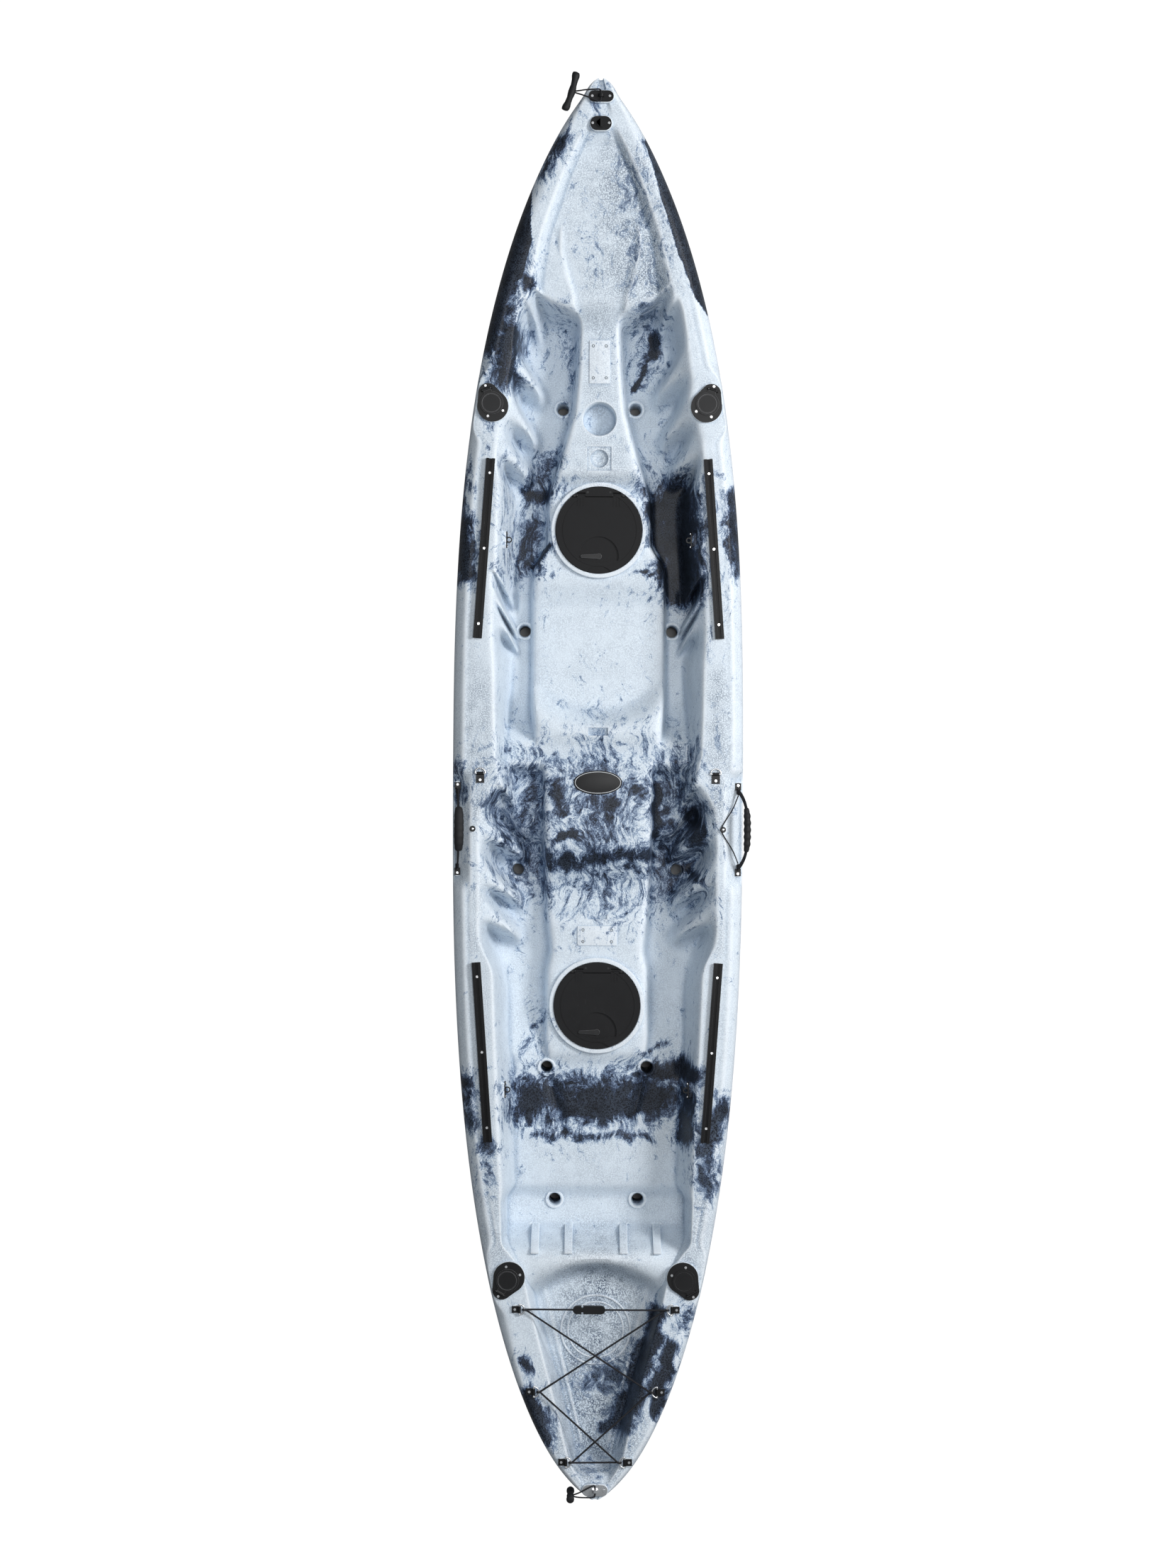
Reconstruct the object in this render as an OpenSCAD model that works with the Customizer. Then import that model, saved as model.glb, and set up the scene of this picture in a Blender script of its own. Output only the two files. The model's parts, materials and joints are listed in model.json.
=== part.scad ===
// Tandem sit-on-top kayak: a hollow moulded body with two hatches, rod holders, slide tracks, handles,
// deck rings, a stern bungee and end toggles. +X is the bow, +Y is port, +Z is up, z = 0 is the keel.

/* [Hull] */
// Length from bow to stern
hull_l = 3800; // [3700:10:4100]
// Beam at the seam
hull_w = 788; // [770:2:830]
// Height of the side decks amidships
side_deck_h = 300; // [290:1:320]
// Height of the mould seam amidships
seam_h = 250; // [235:1:255]
// Rise of the deck at the bow
bow_rise = 95; // [70:1:110]
// Rise of the deck at the stern
stern_rise = 60; // [45:1:75]
// Rise of the keel at the ends
stem_rise = 265; // [220:1:280]
// Length of the flat of the keel
keel_flat_l = 1400; // [1100:10:1600]
// Thickness of the moulded skin
skin_t = 5; // [4:0.5:7]
// Width of the rounded gunwale
gunwale_w = 44; // [36:1:50]

/* [Cockpits] */
// Height of the footwell floors
floor_h = 120; // [110:1:130]
// Height of the bow console
console_h = 230; // [224:1:238]
// Narrowest width of the bow console
console_w = 104; // [96:1:112]
// Height of the deck that carries the front hatch
platform_h = 198; // [192:1:204]
// Height of the deck that carries the rear hatch
rear_platform_h = 186; // [180:1:192]
// Height of the front seat
seat_h = 172; // [164:1:182]
// Width of the front seat
seat_w = 352; // [340:1:360]
// Front edge of the forward footwells
well_x = 1272; // [1264:1:1282]
// How far that edge runs forward beside the console
well_bend = 35; // [20:1:40]
// Front edge of the front seat
seat_x = 575; // [565:1:585]
// Middle of the back edge of the front seat
seat_back_x = 205; // [195:1:225]
// How far the seat's back edge curves forward at its ends
seat_arc = 84; // [70:1:95]
// Middle of the cross groove behind the front seat
groove_x = 110; // [104:1:114]
// Width of the cross groove
groove_w = 50; // [44:1:54]
// Depth of the cross groove
groove_d = 12; // [6:1:16]
// Height of the mid deck
mid_h = 232; // [224:1:240]
// Width of the mid deck
mid_w = 284; // [270:1:300]
// Back edge of the mid deck
mid_x = -145; // [-155:1:-135]
// Height of the rear seat floor
rear_seat_h = 168; // [160:1:178]
// Front edge of the rear seat floor
rear_seat_x = -735; // [-745:1:-725]
// Front edge of the pocket behind the rear seat
pocket_x = -1098; // [-1102:1:-1094]
// Back edge of that pocket
pocket_back_x = -1230; // [-1234:1:-1226]
// Depth of that pocket below the seat floor
pocket_d = 24; // [15:1:30]
// Reach of a foot step across the footwell wall, along the boat
step_rake = 124; // [100:1:135]
// Spacing of the foot steps
step_pitch = 126; // [118:1:132]
// Foremost forward foot step
front_step_x = 1088; // [1075:1:1100]
// Foremost rear foot step
rear_step_x = -172; // [-180:1:-165]
// Foremost foot step beside the front seat
seat_step_x = 386; // [376:1:396]

/* [Bow and stern decks] */
// Depth of the dished bow deck
dish_d = 22; // [12:1:28]
// Front end of the dished bow deck
dish_x = 1775; // [1760:1:1785]
// Front edge of the stern well
well_front_x = -1286; // [-1295:1:-1280]
// Back end of the stern well
well_back_x = -1828; // [-1835:1:-1815]
// Width of the stern well at its front
well_w = 374; // [350:1:380]
// Height of the stern well's floor
well_floor_h = 222; // [210:1:235]
// Curve of the stern well's front edge
well_arc = 62; // [40:1:70]
// Ring moulded into the stern well's floor
well_ring_d = 194; // [150:1:200]

/* [Hatches] */
// Diameter of a hatch
hatch_d = 237; // [225:1:245]
// Middle of the front hatch
front_hatch_x = 712; // [705:1:720]
// Middle of the rear hatch
rear_hatch_x = -589; // [-595:1:-580]
// Opening through a hatch
hatch_bore_d = 170; // [160:1:174]
// Thickness of a hatch lid
lid_t = 7.4; // [6:0.2:9]
// Width of the moulded rim around a hatch
rim_w = 13; // [10:1:15]
// Distance from the hatch's middle to its latch
latch_back = 72; // [66:1:73]
// Length of a latch lever
latch_l = 50; // [44:1:52]

/* [Scuppers and cup holder] */
// Bore of a scupper
scupper_d = 32; // [28:1:36]
// Wall of a scupper tube
scupper_wall = 4; // [3:0.5:5]
// Diameter of the cup holder
cup_d = 90; // [80:1:96]
// Depth of the cup holder
cup_depth = 55; // [40:1:65]
// Middle of the cup holder
cup_x = 1013; // [1005:1:1020]
// Diameter of the small tray on the console
tray_d = 50; // [40:1:54]
// Middle of the small tray
tray_x = 905; // [900:1:912]

/* [Rod holders] */
// Bore of a rod holder
rod_d = 42; // [38:1:44]
// Wall of a rod holder's tube
rod_wall = 2.5; // [2:0.25:3]
// Width of a rod holder's flange
rod_flange_w = 84; // [80:1:88]
// Length of a rod holder's flange
rod_flange_l = 106; // [100:1:110]
// Depth of a rod holder
rod_depth = 130; // [100:1:140]
// Bow rod holders, along the boat
bow_rod_x = 1044; // [1038:1:1050]
// Bow rod holders, from the middle
bow_rod_y = 291; // [289:1:293]
// Stern rod holders, along the boat
stern_rod_x = -1320; // [-1324:1:-1316]
// Stern rod holders, from the middle
stern_rod_y = 238; // [236:1:240]

/* [Slide tracks] */
// Length of a track
track_l = 486; // [460:1:490]
// Width of a track
track_w = 23.6; // [22:0.2:25]
// Height of a track
track_t = 11; // [9:0.5:13]
// Width of a track's slot
track_slot = 8; // [6:0.5:9]
// Angle of a track to the keel, in degrees
track_turn = 4; // [3:0.1:4.6]
// Middle of the front tracks, along the boat
front_track_x = 653; // [648:1:658]
// Middle of the rear tracks, along the boat
rear_track_x = -707; // [-712:1:-702]
// Middle of a track, from the middle of the boat
track_y = 310; // [308:1:312]

/* [Handles and rings] */
// Length of a side handle between its screws
handle_l = 236; // [220:1:244]
// Middle of the side handles, along the boat
handle_x = -104; // [-110:1:-98]
// Reach of a side handle from its hinge line
handle_reach = 54; // [50:1:58]
// Diameter of a side handle's grip
handle_d = 20; // [16:1:22]
// Wire of a D ring
ring_wire = 4; // [3:0.5:4.5]
// Width of a D ring
ring_w = 32; // [28:1:34]
// Diameter of the bungee
bungee_d = 5; // [4:0.5:6]
// Length of a toggle grip
toggle_l = 106; // [90:1:110]
// Diameter of a toggle grip
toggle_d = 20; // [16:1:22]
// Diameter of a toggle's cord
toggle_cord_d = 4; // [3:0.5:5]

/* [Accessory pads] */
// Middle of the front accessory pad, along the boat
front_pad_x = 1168; // [1160:1:1175]
// Middle of the rear accessory pad, along the boat
rear_pad_x = -398; // [-402:1:-394]
// Long spacing of the front pad's inserts
front_pad_long = 87; // [80:1:92]
// Short spacing of the front pad's inserts
front_pad_short = 35; // [32:1:38]
// Long spacing of the rear pad's inserts
rear_pad_long = 78; // [72:1:82]
// Short spacing of the rear pad's inserts
rear_pad_short = 32; // [28:1:34]
// Thread of an insert
insert_d = 5; // [4:0.5:6]

/* [Hidden] */
$fn = 48;

// Gap between pieces that touch without pressing
gap = 0.3;
// The lines are drawn for a boat of this length and beam, and laid off to the boat's own
drawn = [3800, 788];
lay = [hull_l / drawn[0], hull_w / drawn[1], 1];
function laid(p) = [p[0] * lay[0], p[1] * lay[1], p[2]];
hull_half = drawn[0] / 2;
beam_half = drawn[1] / 2;
rim_r = hatch_d / 2 + rim_w;
rim_gap = 1;
console_wall = 12;

// Blending functions
function clamp01(v) = min(1, max(0, v));
function smooth(v) = let (k = clamp01(v)) k * k * (3 - 2 * k);
function mix(a, b, k) = a + (b - a) * k;
function window(x, middle, half, edge) = smooth((half + edge - abs(x - middle)) / edge);
// A line through [x, value] points listed from bow to stern, straight or eased between them
function line(x, p) = lookup(x, p);
function eased(x, p, i = 0) =
    x >= p[0][0] ? p[0][1]
    : i >= len(p) - 1 ? p[len(p) - 1][1]
    : x >= p[i + 1][0] ? mix(p[i][1], p[i + 1][1], smooth((p[i][0] - x) / (p[i][0] - p[i + 1][0])))
    : eased(x, p, i + 1);

// Lines of the hull
bow_fullness = [2.9, 0.75];
stern_fullness = [2.6, 0.6];
function fullness(x) = x > 0 ? bow_fullness : stern_fullness;
function half_beam(x) =
    let (f = fullness(x))
    beam_half * pow(max(0, 1 - pow(min(1, abs(x) / hull_half), f[0])), f[1]);
bow_flat_x = 950;
stern_flat_x = -1050;
function rise(x) =
    x > bow_flat_x ? bow_rise * pow((x - bow_flat_x) / (hull_half - bow_flat_x), 2)
    : x < stern_flat_x ? stern_rise * pow((x - stern_flat_x) / (hull_half + stern_flat_x), 2) : 0;
function side_z(x) = side_deck_h + rise(x);
// The seam is level amidships and climbs in straight runs towards the ends
seam_steps = [[0, 0], [bow_flat_x, 0], [1350, 0.17], [1650, 0.5], [hull_half, 1]];
function seam_z(x) = seam_h + line(abs(x), seam_steps) * (x > 0 ? bow_rise : stern_rise);
function keel_z(x) =
    stem_rise * pow(max(0, abs(x) - keel_flat_l / 2) / (hull_half - keel_flat_l / 2), 3);
function gunwale(x) =
    let (taper = x < 0 ? 0.5 * smooth((-x - 1330) / 300) : 0)
    let (flat_at_rods = max(window(x, bow_rod_x, 62 / lay[0], 45), window(x, stern_rod_x, 56 / lay[0], 45)))
    min(gunwale_w * (1 - taper) * (1 - 0.74 * flat_at_rods), 0.3 * half_beam(x));
function flat_edge(x) = half_beam(x) - gunwale(x);

// Recess along the gunwale that a side handle lies in
handle_y = beam_half - 14;
handle_recess_d = 22;
function handle_recess(x, y) =
    handle_recess_d * window(x, handle_x, (handle_l / 2 + 16) / lay[0], 30)
    * smooth((y - handle_y + 35) / 25);

// Plan of the cockpits: half width of the raised middle, floor edge and wall top
middle_line = [
    [1450, 105], [well_x, console_w / 2], [1140, console_w / 2 + 5], [1034, console_w / 2 + 15],
    [873, console_w / 2 + 58], [front_hatch_x + 95, rim_r + 3], [front_hatch_x - 40, rim_r + 3],
    [front_hatch_x - 97, seat_w / 2 - 4], [seat_x - 30, seat_w / 2], [170, seat_w / 2], [60, mid_w / 2],
    [mid_x, mid_w / 2], [-330, 134], [-440, 122], [rear_hatch_x + 95, rim_r + 3],
    [rear_hatch_x - 95, rim_r + 3],
    [rear_seat_x - 30, 120], [well_front_x, 110], [well_back_x, 30]];
floor_line = [
    [hull_half, 3], [dish_x, 22], [1650, 75], [1500, 128], [well_x + 74, 150], [well_x - 12, 138],
    [1100, 150], [900, 176], [800, 205], [600, 220], [200, 226], [150, 240], [70, 250], [50, 216],
    [-130, 205], [-160, 196], [-420, 206], [-480, 238], [-690, 234], [-770, 222], [pocket_x + 15, 212],
    [pocket_x - 18, 240], [pocket_back_x, 240], [well_front_x - 5, well_w / 2 - 22],
    [well_front_x - 64, well_w / 2 - 30], [well_back_x + 28, 46], [well_back_x - 22, 28], [-hull_half, 3]];
wall_line = [
    [hull_half, 6], [dish_x + 15, 40], [1650, 112], [1500, 168], [well_x + 74, 205], [well_x + 18, 222],
    [1150, 243], [bow_rod_x, 243], [961, 276], [700, 285], [300, 290], [100, 285], [20, 272], [-60, 320],
    [-420, 320], [-470, 290], [-900, 274], [pocket_x - 18, 262], [pocket_back_x, 258],
    [well_front_x - 6, well_w / 2 + 9], [well_front_x - 64, well_w / 2 + 4], [well_back_x + 28, 74],
    [well_back_x - 22, 45], [-hull_half, 6]];
// Heights along the raised middle and along the floors beside it
middle_height = [
    [dish_x + 25, side_z(dish_x + 25)], [1720, side_z(1720) - dish_d], [1520, side_z(1520) - dish_d],
    [well_x + 60, 0.6 * side_z(well_x) + 0.4 * console_h], [front_pad_x + 80, console_h],
    [tray_x - 40, console_h], [front_hatch_x + rim_r - 8, platform_h],
    [front_hatch_x - rim_r, platform_h], [seat_x - 70, seat_h + 4], [seat_back_x + 8, seat_h],
    [seat_back_x - 38, mid_h], [groove_x + groove_w / 2 + 5, mid_h],
    [groove_x + groove_w / 2 - 1, mid_h - groove_d], [groove_x - groove_w / 2 + 1, mid_h - groove_d],
    [groove_x - groove_w / 2 - 5, mid_h], [mid_x, mid_h], [mid_x - 125, rear_platform_h - 14],
    [rear_pad_x + 66, rear_platform_h - 14], [rear_pad_x + 50, rear_platform_h],
    [rear_hatch_x - rim_r, rear_platform_h], [rear_seat_x - 10, rear_seat_h], [pocket_x + 12, rear_seat_h],
    [pocket_x - 8, rear_seat_h - pocket_d], [pocket_back_x + 24, rear_seat_h - pocket_d],
    [pocket_back_x - 22, side_z(pocket_back_x) - 8], [well_front_x + 12, side_z(well_front_x) - 6],
    [well_front_x - 20, well_floor_h], [well_back_x + 28, well_floor_h],
    [well_back_x - 22, side_z(well_back_x - 22)]];
floor_height = [
    [dish_x + 25, side_z(dish_x + 25)], [1720, side_z(1720) - dish_d], [1520, side_z(1520) - dish_d],
    [well_x + 18, side_z(well_x) - dish_d - 8], [well_x - 12, floor_h], [150, floor_h], [141, mid_h],
    [groove_x + groove_w / 2 + 5, mid_h], [groove_x + groove_w / 2 - 1, mid_h - groove_d],
    [groove_x - groove_w / 2 + 1, mid_h - groove_d], [groove_x - groove_w / 2 - 5, mid_h], [66, mid_h],
    [48, mid_h - 46], [-108, mid_h - 56], [-150, floor_h], [rear_hatch_x + 60, floor_h],
    [rear_seat_x - 30, rear_seat_h], [pocket_x + 12, rear_seat_h], [pocket_x - 8, rear_seat_h - pocket_d],
    [pocket_back_x + 24, rear_seat_h - pocket_d], [pocket_back_x - 22, side_z(pocket_back_x) - 8],
    [well_front_x + 12, side_z(well_front_x) - 6], [well_front_x - 20, well_floor_h],
    [well_back_x + 28, well_floor_h], [well_back_x - 22, side_z(well_back_x - 22)]];
// How far the deck's sections bow along the boat, and how far they rake across the foot steps
bend_line = [
    [1440, 0], [well_x + 18, well_bend], [well_x - 12, well_bend], [1120, 0],
    [470, 0], [seat_back_x + 8, 1.65 * seat_arc], [seat_back_x - 38, 0.9 * seat_arc],
    [groove_x + groove_w / 2 + 6, 0], [pocket_back_x - 24, 0], [well_front_x + 12, -well_arc],
    [well_front_x - 50, -well_arc], [-1600, 0]];
rake_line = [
    [well_x + 88, 0], [1180, step_rake], [front_step_x - 3 * step_pitch, step_rake], [610, 0],
    [seat_step_x + 80, step_rake], [seat_step_x - 110, step_rake], [140, 0], [110, 0],
    [rear_step_x + 20, step_rake], [rear_step_x - 2.4 * step_pitch, step_rake], [-700, 0]];
// A foot step is a wedge behind a raked line: narrow at its tip by the floor, wide at the side deck
step_edge = 12;
step_tip_w = 20;
step_wall_w = 90;
step_places = [0, 1, 1.76];
step_tips = concat([for (first = [front_step_x, rear_step_x], k = step_places) first - k * step_pitch],
    [seat_step_x, seat_step_x - 0.65 * step_pitch]);
function one_step(u, q, tip) =
    smooth((tip - u) / step_edge + 0.5)
    * smooth((u - tip + mix(step_tip_w, step_wall_w, q)) / step_edge + 0.5);
function step_shape(u, q) = max([for (tip = step_tips) one_step(u, q, tip)]);
function step_zone(u) = max(
    window(u, front_step_x - 0.9 * step_pitch, 1.55 * step_pitch, 40),
    window(u, rear_step_x - 0.9 * step_pitch, 1.55 * step_pitch, 40),
    window(u, seat_step_x - 0.3 * step_pitch, 0.9 * step_pitch, 40));
// Share of the climb from floor (0) to side deck (1), at a share q of the way across the wall
function plain_wall(q) = smooth((q - 0.1) / 0.8);
function step_top(q) = smooth(q / 0.12) * mix(0.42, 1, q);
function step_pocket(q) = smooth((q - 0.62) / 0.38);
function wall_climb(u, q) =
    mix(plain_wall(q), mix(step_pocket(q), step_top(q), step_shape(u, q)), step_zone(u));

// Point of the deck at station u and a share s of the way across zone z of its half section
function deck_edges(u) =
    let (f = line(u, floor_line))
    let (foot = min(console_wall, 0.3 * f))
    let (m = min(line(u, middle_line), 0.9 * f - foot))
    [0, m, m + foot, f];
function deck_point(u, zone, s) =
    let (e = deck_edges(u), f = e[3], bend = line(u, bend_line), rake = line(u, rake_line))
    let (x_wall = u + bend + rake, t = line(x_wall, wall_line))
    let (inner = zone < 3 ? mix(e[zone], e[zone + 1], s) : f)
    let (q = zone < 3 ? 0 : zone == 3 ? s : 1)
    let (x = u + bend * pow(inner / f, 2) + rake * q)
    let (low = zone == 0 ? eased(u, middle_height)
        : zone == 1 ? mix(eased(u, middle_height), eased(u, floor_height), smooth(s))
        : eased(u, floor_height))
    let (y = zone < 3 ? inner : zone == 3 ? mix(f, t, s)
        : zone == 4 ? mix(t, flat_edge(x), s) : mix(flat_edge(x), half_beam(x), sin(90 * s)))
    let (z = zone < 3 ? low : zone == 3 ? mix(low, side_z(x), wall_climb(u, q))
        : zone == 4 ? side_z(x) : mix(seam_z(x), side_z(x), cos(90 * s)))
    [x, y, zone < 4 ? z : max(z - handle_recess(x, y), min(z, seam_z(x) + 6))];

// Stations of the deck: every place where its lines turn, the foot steps, and even ones in between
function descending(v) =
    len(v) < 2 ? v
    : let (p = v[floor(len(v) / 2)])
        concat(descending([for (a = v) if (a > p) a]), [p], descending([for (a = v) if (a < p) a]));
function spaced(v, least, i = 1, kept = undef) =
    let (k = is_undef(kept) ? [v[0]] : kept)
    i >= len(v) ? k : spaced(v, least, i + 1, v[i] <= k[len(k) - 1] - least ? concat(k, [v[i]]) : k);
tip_x = hull_half - 1.5;
solid_tip = 62;
inner_tip_x = hull_half - solid_tip;
step_stations = [for (tip = step_tips, d = [7, -7, -20, -36, -60, -84, -100]) tip + d];
end_stations = [for (a = [tip_x, hull_half - 10, hull_half - 28, inner_tip_x], side = [1, -1]) a * side];
function wall_station(x, low = -hull_half, high = hull_half, k = 0) =
    let (u = (low + high) / 2)
    k > 30 ? u : u + line(u, rake_line) + line(u, bend_line) > x ? wall_station(x, low, u, k + 1)
    : wall_station(x, u, high, k + 1);
handle_stations = [for (d = [-1, 1], k = [12, 46]) 
    wall_station(handle_x + d * (handle_l / 2 + k) / lay[0])];
even_stations = [for (a = [-1736 : 124 : 1736]) a];
turns = [for (p = concat(middle_height, floor_height, bend_line)) p[0]];
deck_stations = let (inside = [for (a = concat(turns, step_stations, handle_stations, even_stations))
        if (abs(a) < inner_tip_x - 6) a])
    spaced(descending(concat(inside, end_stations)), 5.5);
deck_columns = [[0, 0], [0, 0.55], [0, 1], [1, 1], [2, 1],
    [3, 0.12], [3, 0.36], [3, 0.62], [3, 0.82], [3, 1], [4, 1], [5, 0.3], [5, 0.62], [5, 1]];
function mirrored(half) =
    concat([for (k = [len(half) - 1 : -1 : 1]) [half[k][0], -half[k][1], half[k][2]]], half);
deck_rows = [for (u = deck_stations) 
    mirrored([for (c = deck_columns) laid(deck_point(u, c[0], c[1]))])];

// Sections of the hull below the seam: shares of the half beam and of the height
hull_section = [[0, 0], [0.17, 0], [0.27, 0.05], [0.44, 0.085], [0.58, 0.02], [0.64, 0], [0.72, 0],
    [0.84, 0.07], [0.93, 0.26], [0.98, 0.6], [1, 1]];
function hull_point(x, k) =
    [x, half_beam(x) * k[0], mix(keel_z(x), seam_z(x), k[1])];
function hull_z(x, y) = mix(keel_z(x), seam_z(x), lookup(abs(y) / half_beam(x), hull_section));
hull_stations = spaced(descending(concat(end_stations,
    [for (p = seam_steps, side = [1, -1]) if (p[0] < inner_tip_x) p[0] * side],
    [for (side = [1, -1], a = [0, 180, 370, 560, 740]) side * (keel_flat_l / 2 + a)],
    [for (side = [1, -1], a = [85, 180]) side * (hull_half - a)], [0, 350, -350])), 8);
hull_rows = [for (x = hull_stations) mirrored([for (k = hull_section) laid(hull_point(x, k))])];

// Skin of a loft: each inner point lies a wall inside its outer point, square to the surface there.
// The seam edge stays on the seam, and the first and last inner sections stay upright.
function unit(v) = v / max(norm(v), 1e-9);
function inner_point(rows, i, j, down) =
    let (n = len(rows), m = len(rows[0]), p = rows[i][j])
    let (along = rows[min(i + 1, n - 1)][j] - rows[max(i - 1, 0)][j])
    let (across = rows[i][min(j + 1, m - 1)] - rows[i][max(j - 1, 0)])
    let (out = unit(cross(across, along)) * (down ? -1 : 1))
    let (edge = j == 0 || j == m - 1, upright = abs(p[0]) > inner_tip_x * lay[0] - 1)
    edge ? [p[0], p[1] - sign(p[1]) * skin_t, p[2]]
    : [upright ? p[0] : p[0] - skin_t * out[0], p[1] - skin_t * out[1], p[2] - skin_t * out[2]];
module skin(rows, down) {
    n = len(rows);
    m = len(rows[0]);
    first = [for (i = [0 : n - 1]) if (abs(rows[i][0][0]) < inner_tip_x * lay[0] + 0.5) i][0];
    last = n - 1 - first;
    inner = [for (i = [first : last]) [for (j = [0 : m - 1]) inner_point(rows, i, j, down)]];
    function o(i, j) = i * m + j;
    function c(i, j) = n * m + (i - first) * m + j;
    outer_faces = [for (i = [0 : n - 2], j = [0 : m - 2])
        each [[o(i, j), o(i + 1, j), o(i + 1, j + 1)], [o(i, j), o(i + 1, j + 1), o(i, j + 1)]]];
    inner_faces = [for (i = [first : last - 1], j = [0 : m - 2])
        each [[c(i, j), c(i + 1, j + 1), c(i + 1, j)], [c(i, j), c(i, j + 1), c(i + 1, j + 1)]]];
    e = m - 1;
    port_edge = [for (i = [first : last - 1])
        each [[o(i, e), o(i + 1, e), c(i + 1, e)], [o(i, e), c(i + 1, e), c(i, e)]]];
    starboard_edge = [for (i = [first : last - 1])
        each [[o(i + 1, 0), o(i, 0), c(i, 0)], [o(i + 1, 0), c(i, 0), c(i + 1, 0)]]];
    tip_strips = [for (i = [0 : n - 2]) if (i < first - 1 || i > last)
        each [[o(i, e), o(i + 1, e), o(i + 1, 0)], [o(i, e), o(i + 1, 0), o(i, 0)]]];
    a = first;
    b = last;
    tip_ends = [[o(a - 1, e), o(a, e), c(a, e)], [o(a - 1, e), c(a, e), c(a, 0)],
        [o(a - 1, e), c(a, 0), o(a - 1, 0)], [o(a - 1, 0), c(a, 0), o(a, 0)],
        [o(b, e), o(b + 1, e), c(b, e)], [o(b + 1, e), c(b, 0), c(b, e)],
        [o(b + 1, e), o(b + 1, 0), c(b, 0)], [o(b + 1, 0), o(b, 0), c(b, 0)]];
    caps = [for (j = [1 : m - 2]) each [[o(0, 0), o(0, j), o(0, j + 1)],
        [o(n - 1, 0), o(n - 1, j + 1), o(n - 1, j)], [c(a, 0), c(a, j + 1), c(a, j)],
        [c(b, 0), c(b, j), c(b, j + 1)]]];
    faces = concat(outer_faces, inner_faces, port_edge, starboard_edge, tip_strips, tip_ends, caps);
    polyhedron(concat([for (r = rows) each r], [for (r = inner) each r]),
        down ? [for (f = faces) [f[0], f[2], f[1]]] : faces);
}

// How deep a moulded boss is rooted in the skin
root = skin_t - 1.4;

// Fastenings
fit = 0.05;
screw_r = 2;
screw_head_r = 3.4;
screw_head_t = 2;
screw_bite = 3;
module screw(grip) {
    cylinder(r = screw_head_r, h = screw_head_t, $fn = 24);
    translate([0, 0, -grip - screw_bite]) cylinder(r = screw_r, h = grip + screw_bite + 1, $fn = 24);
}
module screw_hole(depth) {
    translate([0, 0, -depth]) cylinder(r = screw_r + fit, h = depth + 1, $fn = 24);
}
// A flat bar with round ends along x, standing on z = 0
module stadium(l, w, t) {
    translate([-(l - w) / 2, -w / 2, 0]) cube([l - w, w, t]);
    for (s = [-1, 1]) translate([s * (l - w) / 2, 0, 0]) cylinder(r = w / 2, h = t);
}
module rod_between(a, b, r) {
    v = b - a;
    translate(a) rotate([0, acos(v[2] / norm(v)), atan2(v[1], v[0])]) cylinder(r = r, h = norm(v));
}
// A bend in a cord is a ball a little thicker than the cord
bend_grow = 0.3;
module bend(at, r) {
    translate(at) rotate([20, 0, 40]) sphere(r = r + bend_grow);
}
module both_sides() {
    children();
    mirror([0, 1, 0]) children();
}

// Scuppers, from the bow: place, floor height
scuppers = [
    [1053, 100, floor_h], [440, 203, floor_h], [-219, 219, floor_h], [-760, 137, rear_seat_h],
    [-1126, 114, rear_seat_h - pocket_d]];
scupper_r = scupper_d / 2 + scupper_wall;
scupper_rim_w = 4;
scupper_rim_h = 3;
function hull_slope(x, y) = (hull_z(x, y + scupper_r) - hull_z(x, y - scupper_r)) 
    / (2 * scupper_r * lay[1]);
module scupper_tubes() {
    for (p = scuppers) both_sides() difference() {
        union() {
            translate(laid([p[0], p[1], 0])) cylinder(r = scupper_r, h = p[2] - root / 2);
            translate(laid(p) - [0, 0, root])
                cylinder(r = scupper_r + scupper_rim_w, h = root + scupper_rim_h);
        }
        translate(laid([p[0], p[1], hull_z(p[0], p[1]) + 1])) rotate([atan(hull_slope(p[0], p[1])), 0, 0])
            translate([-hull_w, -hull_w, -2 * hull_w]) cube(2 * hull_w);
    }
}
module scupper_bores(r, top) {
    for (p = scuppers) both_sides()
        translate(laid([p[0], p[1], -1])) cylinder(r = r, h = top + 1);
}

// Hatches: heights are measured up from the seat in the deck
hatches = [front_hatch_x, rear_hatch_x];
seat_rise = 2;
lip_rise = 8;
function hatch_z(x) = (x > 0 ? platform_h : rear_platform_h) + seat_rise;
ring_t = 5;
bore_r = hatch_bore_d / 2;
neck_r = bore_r + 4;
neck_depth = 16;
land_h = 14;
land_x = bore_r + 6.5;
hinge_x = land_x + 4.5;
hinge_y = 49;
hinge_z = 9.5;
hinge_pin_r = 2;
hinge_pin_l = 30;
knuckle_r = 4.2;
knuckle_l = 22;
lid_z = ring_t + 0.6;
lid_top = lid_z + lid_t;
lid_edge_x = land_x - 2.9;
spigot_r = bore_r - 1;
spigot_depth = 6;
gasket_r = bore_r + 0.8;
gasket_w = 3;
gasket_t = 2;
gasket_z = ring_t + 0.1;
ring_screws = [[103, 31], [94, 67]];
latch_recess_r = latch_l + 4;
latch_recess_d = 4.5;
latch_shaft_r = 4.5;
latch_hub_r = 8;
lever_t = 3.7;
lever_z = lid_top - latch_recess_d + 0.4;
cam_top = -neck_depth - 0.8;
cam_t = 5.2;
notch_r = 45;
notch_w = 20;
module at_hatch(x) {
    translate(laid([x, 0, hatch_z(x)])) children();
}
module ring_screw_places() {
    for (p = ring_screws) both_sides() translate([p[0], p[1], 0]) children();
}
module along_y(r, l) {
    rotate([90, 0, 0]) cylinder(r = r, h = l, center = true);
}
module hatch_seat() {
    translate([0, 0, -seat_rise - root]) cylinder(r = rim_r, h = root + lip_rise, $fn = 96);
}
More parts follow.
